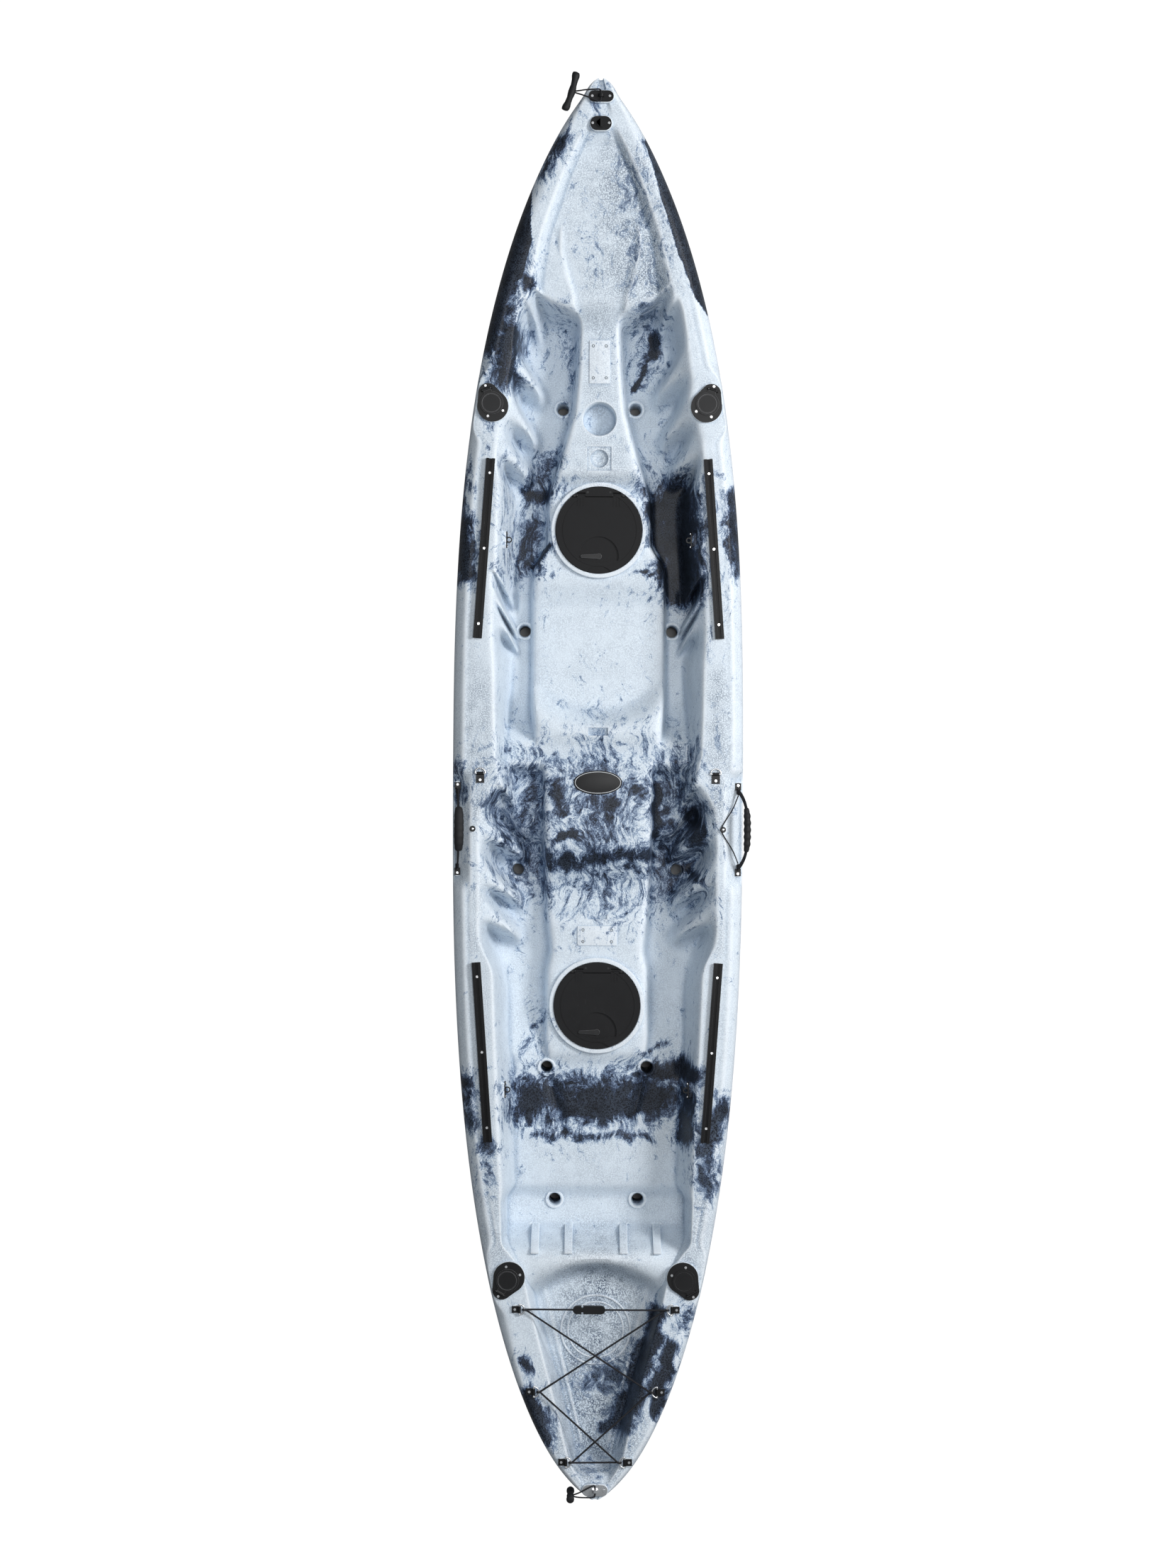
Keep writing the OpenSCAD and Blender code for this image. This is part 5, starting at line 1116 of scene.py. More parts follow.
@dataclass
class MouldedBody:
    """The hollow moulded body: deck and hull in one piece, with every opening that its fittings need."""

    deck: DeckLines = field(default_factory=DeckLines)
    spacing: float = 8.6
    columns: Sequence[tuple[int, int]] = ((0, 12), (1, 6), (2, 9), (3, 20), (4, 9), (5, 14))
    hull_columns: int = 33
    hatch_boss: float = 131.5
    hatch_seat: Sequence[Pair] = ((0, -12), (89.5, -12), (89.5, 0), (119.5, 0), (120.5, 20), (0, 20))
    scupper_rim: float = 25.0
    scupper_bore: Sequence[Pair] = ((0, -20), (16, -20))
    scupper_mouth: Sequence[Pair] = ((16, -3), (18.4, 3.6), (19.6, 5.2), (19.6, 14), (0, 14))
    scuppers: Sequence[Point] = ((1053, 100, 120), (440, 203, 120), (-219, 219, 120), (-760, 137, 168),
                                 (-1126, 114, 144))
    # Place and turn of the rod holders, and the lean of their tubes
    rod_places: Sequence[Point] = ((1044, 291, 20), (-1320, 238, 150))
    rod_lean: float = 12.0
    # Place along and radius of the two circles of a rod holder's seat
    rod_seat: tuple[Pair, Pair] = ((-8.0, 43.5), (30.0, 27.5))
    # Radius, bottom and top: tubes of the rod holders, bosses of the handle anchors and of the stern rings
    rod_bore: Point = (24.5, -140.0, 30.0)
    anchor_boss: Point = (11.0, 252.0, 272.0)
    ring_boss: Point = (13.0, -14.0, 3.5)
    # Place, half length, radius and depth of the bosses under the end eyes and the drain
    end_bosses: Sequence[tuple[float, float, float, float]] = (
        (BOW_EYE, 18.5, 17.0, 8.0), (STERN_EYE, 18.5, 17.0, 8.0), (DRAIN, 9.5, 21.0, 12.0))
    # Reach of a handle's anchors from its middle
    anchor: float = 118.0
    wall_eyes: Sequence[Point] = ((680, 252, 258), (-812, 250, 262))
    # Place and half size of the accessory pads on the console and on the rear platform
    pads: tuple[tuple[float, Pair], ...] = ((1168.0, (59.0, 28.5)), (-398.0, (27.0, 54.5)))
    # Places of the notches behind the mid deck and the rear platform
    notches: Pair = (161.0, -342.0)
    well_ribs: Sequence[float] = (75, 166)
    rib: Sequence[Pair] = ((-1192, 143), (-1212, 142), (-1254, 290), (-1248, 293))
    well_x: float = -1470.0
    well_rings: Sequence[Sequence[Pair]] = (
        ((97, 218), (97, 223), (95.5, 225), (93, 225), (91, 223), (91, 218), (97, 218)),
        ((78, 218), (78, 222.6), (76, 224), (73, 222.6), (72, 218), (78, 218)))
    cup_x: float = 1013.0
    cup: Sequence[Pair] = ((0, -55), (36, -55), (42, -52.5), (44.4, -46), (45, -3), (47.5, 0.4), (48.5, 20),
                           (0, 20))
    tray_x: float = 905.0
    tray: Sequence[Pair] = ((0, -12), (9, -12), (11, -10.5), (20, -10), (23.5, -7), (25, -2), (0, -2))
    tray_half: Pair = (33.0, 33.0)
    notch_half: Pair = (11.0, 27.0)
    seat_groove: tuple[Pair, Pair] = ((-775, 132), (-932, 93))
    seat_dimples: Sequence[Pair] = ((522, 240), (-757, 243))
    # Middle, half size and heights of the hollows under the hatches
    stowage: Sequence[tuple[float, Pair, Pair]] = (
        (714, (154, 118), (22, 189)), (-578.5, (143.5, 112), (22, 177)))
    # Radius of a bend that counts as fully hollow
    hollow_radius: float = 55.0
    # How far the dark edges of the bow reach in from the gunwale, at places along it
    dark_edges: Sequence[tuple[Side, Sequence[Pair]]] = (
        (Side.PORT, ((1700, -4), (1610, 8), (1480, 58), (1380, 64), (1330, -6))),
        (Side.STARBOARD, ((1770, -6), (1740, 14), (1600, 38), (1450, 44), (1330, 30), (1270, -6))))

    def stations(self) -> Array:
        """Stations from bow to stern, closer at both tips."""
        tip = self.deck.hull.half_length - 1.5
        even = np.linspace(tip - 30, -tip + 30, int(2 * (tip - 30) / self.spacing))
        ends = np.array([0.0, 3.0, 7.0, 12.0, 18.0, 24.0])
        return np.concatenate([tip - ends, even, -(tip - ends[::-1])])

    def surface(self) -> Array:
        """Deck points, rows from bow to stern and columns from starboard to port."""
        u = self.stations()
        half = [self.deck.column(u, 0, 0.0)]
        for zone, count in self.columns:
            half += [self.deck.column(u, zone, (k + 1) / count) for k in range(count)]
        port = np.stack(half, axis=1)
        starboard = port[:, :0:-1] * np.array([1.0, -1.0, 1.0])
        return np.concatenate([starboard, port], axis=1)

    @staticmethod
    def soften(grid: Array, passes: int) -> Array:
        """Round a grid of points, keeping its border.

        Args:
            grid: Rows, columns and coordinates.
            passes: How often each point is drawn towards its neighbours.

        Returns:
            The rounded grid.
        """
        for _ in range(passes):
            inner = grid.copy()
            inner[1:-1, :] = 0.25 * grid[:-2, :] + 0.5 * grid[1:-1, :] + 0.25 * grid[2:, :]
            inner[:, 0], inner[:, -1] = grid[:, 0], grid[:, -1]
            across = inner.copy()
            across[:, 1:-1] = 0.25 * inner[:, :-2] + 0.5 * inner[:, 1:-1] + 0.25 * inner[:, 2:]
            across[0], across[-1] = grid[0], grid[-1]
            grid = across
        return grid

    def details(self, grid: Array) -> Array:
        """Press grooves, ribs and ridges into the deck."""
        x, y = grid[:, :, 0], np.abs(grid[:, :, 1])
        hull = self.deck.hull
        # Grooves of the rear seat, narrower towards the stern, and the raised pad behind them
        distance, t = segment_distance(x, y, *self.seat_groove)
        z = -11.0 * bell(distance, 11.0 - 4.0 * t)
        z += 2.5 * smooth((-925.0 - x) / 14.0) * smooth((x + 1075.0) / 40.0) * smooth((205.0 - y) / 30.0)
        # Ridges beside the bow dish
        z += 5.0 * bell(y - along(x, self.deck.middle), 7.0) * window(x, 1400.0, 95.0, 40.0)
        # Bead and groove along the gunwale
        share = (hull.half_beam(x) - y) / np.maximum(hull.gunwale(x), 1.0)
        amidships = smooth((1500.0 - np.abs(x)) / 250.0)
        z += 2.2 * bell(share - 0.62, 0.14) * amidships
        z -= 2.0 * bell(share - 0.95, 0.1) * amidships
        for cx, cy in self.seat_dimples:
            z -= 12.0 * window(x, cx, 18.0, 14.0) * window(y, cy, 14.0, 12.0)
        # Ridge around the floor of the stern well
        z += 4.0 * bell(y - (along(x, self.deck.floor) - 16.0), 5.5) * window(x, -1560.0, 190.0, 40.0)
        grid = grid.copy()
        grid[:, 1:-1, 2] += z[:, 1:-1]
        return grid

    def shell(self) -> Obj:
        """Loft the closed outer surface."""
        deck = self.soften(self.details(self.soften(self.surface(), 2)), 1)
        rows, cols = deck.shape[:2]
        shares = np.linspace(-1.0, 1.0, self.hull_columns)
        shares = np.sign(shares) * np.abs(shares) ** 0.85
        hull = self.soften(self.deck.hull.hull_row(deck[:, 0, 0], shares), 1)[:, 1:-1]
        points = np.concatenate([deck.reshape(-1, 3), hull.reshape(-1, 3)])
        base, inner = rows * cols, self.hull_columns - 2

        def low(i: int, j: int) -> int:
            """Index of a hull point; its edges are the deck's edges."""
            return i * cols if j == 0 else i * cols + cols - 1 if j == inner + 1 else base + i * inner + j - 1

        faces = []
        for i in range(rows - 1):
            for j in range(cols - 1):
                a = i * cols + j
                faces.append((a, a + 1, a + cols + 1, a + cols))
            for j in range(inner + 1):
                faces.append((low(i, j), low(i + 1, j), low(i + 1, j + 1), low(i, j + 1)))
        for i, forward in ((0, True), (rows - 1, False)):
            ring = [i * cols + j for j in range(cols)] + [low(i, j) for j in range(inner, 0, -1)]
            faces.append(ring[::-1] if forward else ring)
        return mesh_object("moulded_body", points, faces)

    def side_bosses(self, side: Side) -> list[Obj]:
        """Bosses and rims of one side."""
        level, sign = self.deck.hull.height, side.value
        (back, broad), (front, narrow) = self.rod_seat
        parts = []
        for x, y, z in self.scuppers:
            parts.append(block(circle(self.scupper_rim, (x, sign * y), 40), z - 4, z + 5, 1.4))
        for x, y, turn in self.rod_places:
            seat = block(two_circles((back, 0.0), broad, (front, 0.0), narrow), -6, 2.5, 0.8)
            parts.append(move(seat, place((x, y, level(x)), turn, side)))
        radius, low, high = self.anchor_boss
        for x in (HANDLE[0] - self.anchor, HANDLE[0] + self.anchor):
            parts.append(block(circle(radius, (x, sign * HANDLE[1]), 32), low, high, 0.8))
        radius, low, high = self.ring_boss
        for x, y in STERN_RINGS:
            parts.append(block(circle(radius, (x, sign * (y + 9)), 32), level(x) + low, level(x) + high, 1.0))
        for at in self.wall_eyes:
            eye = block(belt(14.0, 11.0, 12), -20, 0, 1.0)
            parts.append(move(eye, on_side(Matrix.Translation(at) @ rotation(90, "X"), side)))
        for y in self.well_ribs:
            rib = block(self.rib, -11, 11, 2.0)
            parts.append(move(rib, Matrix.Translation((0, sign * y, 0)) @ rotation(90, "X")))
        return parts

    def additions(self) -> list[Obj]:
        """Bosses and rims that stand on the deck."""
        level = self.deck.hull.height
        parts = [block(circle(self.hatch_boss, (x, 0), 96), z - 8, z + 8, 3.0) for _, x, z in HATCHES]
        for side in Side:
            parts += self.side_bosses(side)
        for x, half, radius, depth in self.end_bosses:
            boss = block(belt(half, radius), level(x) - depth, level(x) + 4, 1.0)
            parts.append(move(boss, place((x, 0, 0), 90)))
        for (x, half), z in zip(self.pads, (self.deck.console_h, self.deck.rear_platform_h)):
            parts.append(block(rectangle((x, 0), half), z - 3, z + 2.5, 1.2))
        at = Matrix.Translation((self.well_x, 0, 0))
        return parts + [move(turned("well_ring", profile), at) for profile in self.well_rings]

    def removals(self) -> list[Obj]:
        """Holes and hollows that are taken out of the body."""
        level, console = self.deck.hull.height, self.deck.console_h
        radius, low, high = self.rod_bore
        parts = [self.bore(x, 0.0, raised(self.hatch_seat, z), 96) for _, x, z in HATCHES]
        for side in Side:
            for x, y, z in self.scuppers:
                profile = [*self.scupper_bore, *raised(self.scupper_mouth, z)]
                parts.append(self.bore(x, side.value * y, profile, 40))
            for x, y, turn in self.rod_places:
                at = place((x, y, level(x) + 2.5), turn, side) @ rotation(self.rod_lean, "Y")
                parts.append(move(block(circle(radius, steps=40), low, high), at))
        parts.append(self.bore(self.cup_x, 0.0, raised(self.cup, console), 72))
        parts.append(self.bore(self.tray_x, 0.0, raised(self.tray, console), 56))
        parts.append(block(rectangle((self.tray_x, 0), self.tray_half), console - 2.2, console + 20, 1.5))
        for x, z in zip(self.notches, (self.deck.mid_h, self.deck.rear_platform_h)):
            parts.append(block(rectangle((x, 0), self.notch_half), z - 8, z + 20, 2.0))
        parts.append(block(circle(9.0, (DRAIN, 0), 32), level(DRAIN) - 34, level(DRAIN) + 20))
        return parts + [block(rectangle((x, 0), half), *heights, 18.0) for x, half, heights in self.stowage]

    @staticmethod
    def bore(x: float, y: float, profile: Sequence[Pair], steps: int) -> Obj:
        """Spin a bore's profile about an upright line."""
        return move(turned("bore", profile, steps), Matrix.Translation((x, y, 0)))

    def hollows(self, obj: Obj) -> Array:
        """Measure how far the surface is hollow, from -1 on an edge to 1 in a corner.

        Args:
            obj: The finished mesh.

        Returns:
            A value for each vertex, evened out over its neighbours.
        """
        spots, facing = vertex_values(obj, "co") / MM, vertex_values(obj, "normal")
        ends = np.zeros(len(obj.data.edges) * 2, dtype=np.int32)
        obj.data.edges.foreach_get("vertices", ends)
        count, (a, b) = len(spots), ends.reshape(-1, 2).T
        step = spots[b] - spots[a]
        length = np.maximum(np.linalg.norm(step, axis=1), 2.0)
        share = np.bincount(a, minlength=count) + np.bincount(b, minlength=count)
        rise_a = np.einsum("ij,ij->i", step, facing[a]) / length ** 2
        rise_b = -np.einsum("ij,ij->i", step, facing[b]) / length ** 2
        values = np.bincount(a, rise_a, count) + np.bincount(b, rise_b, count)
        values = np.clip(self.hollow_radius * values / np.maximum(share, 1), -1.0, 1.0)
        for _ in range(2):
            around = np.bincount(a, values[b], count) + np.bincount(b, values[a], count)
            values = 0.5 * values + 0.5 * around / np.maximum(share, 1)
        return values

    def tint(self, obj: Obj) -> None:
        """Write the marble, speckle and hollow attributes of the finished mesh."""
        x, y, z = (vertex_values(obj, "co") / MM).T
        marble, specks = np.zeros_like(x), np.full_like(x, 0.3)
        drawn_x = x + 6.0 * np.sin(x / 31.0 + 2.1 * np.sin(y / 47.0)) + 5.0 * np.sin(y / 11.0 + x / 61.0)
        drawn_y = y + 6.0 * np.sin(y / 37.0 + 1.7 * np.sin(x / 53.0)) + 5.0 * np.sin(x / 13.0 - y / 71.0)
        for streak in STREAKS:
            distance, _ = segment_distance(drawn_x, drawn_y, streak.a, streak.b)
            marble = np.maximum(marble, streak.depth / (1.0 + (distance / (1.15 * streak.half)) ** 2) ** 1.6)
        for patch in DUSTING:
            distance, _ = segment_distance(x, y, patch.a, patch.b)
            specks = np.maximum(specks, patch.depth * bell(distance, patch.half))
        hull = self.deck.hull
        edge = hull.half_beam(x) - np.abs(y)
        for side, reach in self.dark_edges:
            near = smooth((along(x, reach) - edge) / 6.0)
            marble = np.maximum(marble, near * (y * side.value > 0) * (z > 240))
        down = vertex_values(obj, "normal")[:, 2] < -0.02
        below = (z < hull.seam_z(x) - 4.0) & (down | (np.abs(y) > 0.97 * hull.half_beam(x)))
        flank = 0.5 + 0.5 * np.sin(x / 210.0 + 1.3 * np.sin(x / 97.0))
        marble = np.where(below, np.maximum(0.1, 0.75 * smooth((flank - 0.55) / 0.4)), marble)
        for label, values in (("marble", marble), ("speckle", specks), ("hollow", self.hollows(obj))):
            layer = obj.data.attributes.new(label, "FLOAT", "POINT")
            layer.data.foreach_set("value", values.astype(np.float32))

    def build(self, palette: Palette) -> list[str]:
        """Make the body and dress it; return the nodes that it stands for."""
        body = self.shell()
        for tool in self.additions():
            combine(body, tool, Cut.ADD)
        for tool in self.removals():
            combine(body, tool, Cut.REMOVE)
        self.tint(body)
        return palette.fit(body, Palette.HULL, 42.0, "hull", "hull_plastic", "hull_bottom", "deck")


# Soft fittings


@dataclass
class SternBungee:
    """Bungee laced across the stern well through six rings."""

    radius: float = 2.5
    loop: float = 4.6
    lean: float = 38.0
    hull: HullLines = field(default_factory=HullLines)
    # Row, side and upper or lower half of the ring at both ends of each strand
    strands: Sequence[tuple[tuple[int, int, int], tuple[int, int, int]]] = (
        ((0, 1, -1), (0, -1, 1)), ((0, 1, 1), (1, -1, 1)), ((0, -1, -1), (1, 1, -1)),
        ((1, 1, 1), (2, -1, 1)), ((1, -1, -1), (2, 1, -1)), ((2, 1, 1), (2, -1, -1)))

    def apex(self, row: int, side: int) -> Vector:
        """Place where a loop holds its ring."""
        x, y = STERN_RINGS[row]
        return Vector((x, side * (y - 14.0), self.hull.height(x) + 7.7))

    def build(self, palette: Palette) -> list[str]:
        """Make the loops and strands; return the node that they stand for."""
        parts = []
        for row in range(len(STERN_RINGS)):
            for side in (1, -1):
                at = self.apex(row, side)
                ring = [at + Vector((0, math.cos(a), math.sin(a))) * self.loop
                        for a in np.linspace(0, 2 * math.pi, 25)]
                parts.append(tube("loop", [tuple(p) for p in ring], self.radius))
        c, s = math.cos(math.radians(self.lean)), math.sin(math.radians(self.lean))
        for ends in self.strands:
            a, b = (self.apex(row, side) + Vector((0, -side * c, up * s)) * self.loop
                    for row, side, up in ends)
            parts.append(tube("strand", [tuple(a.lerp(b, k / 24)) for k in range(25)], self.radius))
        cord = joined(parts, "stern_bungee_cord")
        return palette.fit(cord, Palette.CORD, 60.0, "hull", "rubber", "stern_bungee")


@dataclass
class PaddleKeepers:
    """Elastic cords of the paddle keepers."""

    radius: float = 1.5
    pin: float = 93.0

    def build(self, palette: Palette) -> list[str]:
        """Make the straight port cord and the starboard cord that is hooked over its button."""
        hx, hy, hz = HANDLE
        port = [(hx - self.pin, hy, hz), (hx + self.pin, hy, hz)]
        half = [(self.pin - 1, hy, hz), (self.pin - 35, hy - 14, 296.0), (6.0, 333.2, 304.1)]
        corners = [(hx + x, -y, z) for x, y, z in half] + [(hx - x, -y, z) for x, y, z in half[::-1]]
        cords = [tube("cord", route, self.radius) for route in (port, rounded_route(corners, 14.0))]
        cord = joined(cords, "paddle_keeper_elastic")
        return palette.fit(cord, Palette.CORD, 60.0, "hull", "rubber", "paddle_keeper_cords")


@dataclass
class Toggle:
    """A cord through an end eye, with a grip across it."""

    name: str
    body: str
    eye: Point
    at: Point
    turn: Pair
    length: float = 106.0
    radius: float = 10.0
    cord: float = 2.0
    run: float = 17.5
    shoulder: float = 42.0

    def loop(self) -> Obj:
        """Cord from the grip through the eye and back."""
        centre, at = Vector(self.eye), Vector(self.at)
        ends = [centre + Vector((s * self.run, 0, 0)) for s in (-1, 1)]
        bends = []
        for start in (-self.run, self.run):
            lean = (at.x - start) * self.shoulder / at.y
            bends.append(centre + Vector((start + lean, self.shoulder, 0)))
        corners = [centre + at, bends[0], ends[0], ends[1], bends[1], centre + at]
        return tube("cord", rounded_route([tuple(p) for p in corners], 9.0), self.cord)

    def build(self, palette: Palette) -> list[str]:
        """Make the cord and the grip.

        Args:
            palette: The materials.

        Returns:
            The nodes that they stand for.
        """
        cord = named(self.loop(), self.name + "_cord_loop")
        half, r = self.length / 2, self.radius
        profile = [(0, -half), (r * 0.55, -half), (r * 0.9, -half + 1.5), (r * 1.05, -half + 6),
                   (r * 1.06, -half + 12), (r * 0.86, -half + 22), (r * 0.8, -half + 36), (r * 0.92, -10),
                   (r, 0)]
        profile += [(x, -z) for x, z in profile[-2::-1]]
        grip = named(turned("grip", profile, 32), self.name + "_toggle")
        for vertex in grip.data.vertices:
            vertex.co.x += 6.0 * MM * (1.0 - math.cos(vertex.co.z / MM / half * 1.2))
        turn = rotation(self.turn[1], "Z") @ rotation(self.turn[0], "X")
        move(grip, Matrix.Translation(Vector(self.eye) + Vector(self.at)) @ turn)
        label = self.name + "_toggle"
        return (palette.fit(cord, Palette.CORD, 60.0, self.body, "rubber", label + "_cord")
                + palette.fit(grip, Palette.RUBBER, 60.0, self.body, "black_plastic", label + "_grip"))


@dataclass
class SideHandle:
    """A carry handle: a bowed strap between two anchors, with a rubber grip moulded on it."""

    side: Side
    lean: float
    breadth: float
    ribs: float
    reach: float = 54.0
    foot: float = 101.0
    fullness: float = 3.4
    strap_width: float = 12.0
    strap_thickness: float = 3.0
    grip_length: float = 116.0
    grip_radius: float = 9.4
    rib_pitch: float = 19.0

    def frame(self) -> Matrix:
        """Matrix from the handle's own frame to the boat."""
        return on_side(Matrix.Translation(HANDLE) @ rotation(self.lean, "X"), self.side)

    def line(self, half: float, steps: int) -> list[Point]:
        """Points of the bowed line, within half of its middle."""
        across = np.linspace(-half, half, steps)
        rise = self.reach * (1.0 - np.abs(across / (self.foot + 4.0)) ** self.fullness)
        return [(float(x), 0.0, float(z)) for x, z in zip(across, rise)]

    def strap(self) -> Obj:
        """Ribbon along the bowed line, with a loop at each foot."""
        route = [Vector(p) for p in [(-self.foot, 0, 3.0)] + self.line(self.foot, 45) + [(self.foot, 0, 3.0)]]
        points, faces = [], []
        for k, here in enumerate(route):
            run = (route[min(k + 1, len(route) - 1)] - route[max(k - 1, 0)]).normalized()
            across = Vector((-run.z, 0, run.x)) * self.strap_width / 2
            thick = Vector((0, self.strap_thickness / 2, 0))
            points += [here + across + thick, here - across + thick, here - across - thick,
                       here + across - thick]
        for k in range(len(route) - 1):
            a = 4 * k
            faces += [(a + j, a + (j + 1) % 4, a + 4 + (j + 1) % 4, a + 4 + j) for j in range(4)]
        faces += [(3, 2, 1, 0), tuple(4 * len(route) - 4 + j for j in range(4))]
        ribbon = mesh_object("ribbon", [tuple(p) for p in points], faces)
        recalculate(ribbon)
        round_edges(ribbon, 0.8, 2, 60.0)
        parts = [ribbon]
        for sign in (-1, 1):
            loop = turned("loop", [(2.7, -6.0), (4.6, -6.0), (5.0, -5.6), (5.0, 5.6), (4.6, 6.0), (2.7, 6.0),
                                   (2.7, -6.0)], 28)
            parts.append(move(loop, Matrix.Translation((sign * self.foot, 0, 0)) @ rotation(90, "Y")))
        return joined(parts, self.side.name.lower() + "_strap")

    def grip(self) -> Obj:
        """Spindle-shaped grip, broader than it is thick, with finger ribs."""
        half = self.grip_length / 2
        route = self.line(half, 93)
        share = np.abs([p[0] for p in route]) / half
        swell = 0.58 + 0.42 * np.sqrt(1.0 - share ** 3)
        wave = np.cos(2.0 * math.pi * np.array([p[0] for p in route]) / self.rib_pitch)
        swell = swell + self.ribs / self.grip_radius * wave * smooth((0.92 - share) / 0.2)
        bar = tube("bar", route, self.grip_radius, 8, [float(v) for v in swell])
        return move(bar, Matrix.Scale(self.breadth, 4, (0, 1, 0)))

    def build(self, palette: Palette) -> list[str]:
        """Make the strap and the grip.

        Args:
            palette: The materials.

        Returns:
            The nodes that they stand for.
        """
        label = self.side.name.lower()
        strap = named(move(self.strap(), self.frame()), label + "_handle_webbing")
        grip = named(move(self.grip(), self.frame()), label + "_handle_rubber")
        body = label + "_handle"
        return (palette.fit(strap, Palette.WEBBING, 50.0, body, "webbing", label + "_handle_strap")
                + palette.fit(grip, Palette.RUBBER, 50.0, body, "black_plastic", label + "_handle_grip"))


# Rigid fittings


@dataclass
class NamePlate:
    """A bare oval plate with a pale line inside its edge."""

    at: Point = (22.0, 0.0, 232.0)
    half: Pair = (33.0, 66.0)
    thickness: float = 2.4
    margin: float = 4.0

    def outline(self, inset: float) -> list[Pair]:
        """Corners of an oval inside the plate's edge."""
        return oval((self.half[0] - inset, self.half[1] - inset), self.at[:2], 72)

    def build(self, palette: Palette) -> list[str]:
        """Make the plate and its line; return the node that they stand for."""
        top = self.at[2] + self.thickness
        plate = named(block(self.outline(0.0), self.at[2], top), "oval_plate")
        round_edges(plate, 0.9, 3, 50.0)
        line = self.outline(self.margin)
        rim = named(tube("rim", [(x, y, top - 0.35) for x, y in line + line[:1]], 0.8), "oval_plate_line")
        return (palette.fit(plate, Palette.BLACK, 40.0, "hull", "black_plastic", "name_plate")
                + palette.fit(rim, Palette.PLATE_RIM, 40.0, "hull", "black_plastic"))


@dataclass
class Gasket:
    """Rubber ring under a hatch lid."""

    hatch: str
    x: float
    z: float
    radii: Pair = (85.8, 88.8)
    heights: Pair = (5.1, 7.1)

    def build(self, palette: Palette) -> list[str]:
        """Spin the ring; return the node that it stands for."""
        (near, far), (low, top) = self.radii, self.heights
        middle = (near + far) / 2.0
        profile = [(near, low + 0.5), (near + 0.5, low), (far - 0.5, low), (far, low + 0.5), (far, top - 0.4),
                   (middle + 0.7, top), (middle - 0.7, top), (near, top - 0.4), (near, low + 0.5)]
        ring = named(turned("ring", profile, 96), self.hatch + "_hatch_seal")
        move(ring, Matrix.Translation((self.x, 0, self.z)))
        node = self.hatch + "_hatch_gasket"
        return palette.fit(ring, Palette.RUBBER, 50.0, self.hatch + "_lid", "rubber", node)


@dataclass
class KeeperCaps:
    """Pale screw caps in the paddle keepers' buttons."""

    at: Point = (-104.0, 338.0, 308.6)
    profile: Sequence[Pair] = ((0, -0.6), (3.6, -0.6), (3.6, 0.4), (3.0, 0.9), (0, 1.1))

    def build(self, palette: Palette) -> list[str]:
        """Make a cap on each side; they stand for no node."""
        caps = [move(turned("cap", self.profile, 24), place(self.at, 0.0, side)) for side in Side]
        return palette.fit(joined(caps, "keeper_button_caps"), Palette.STEEL, 40.0, "hull", "steel")


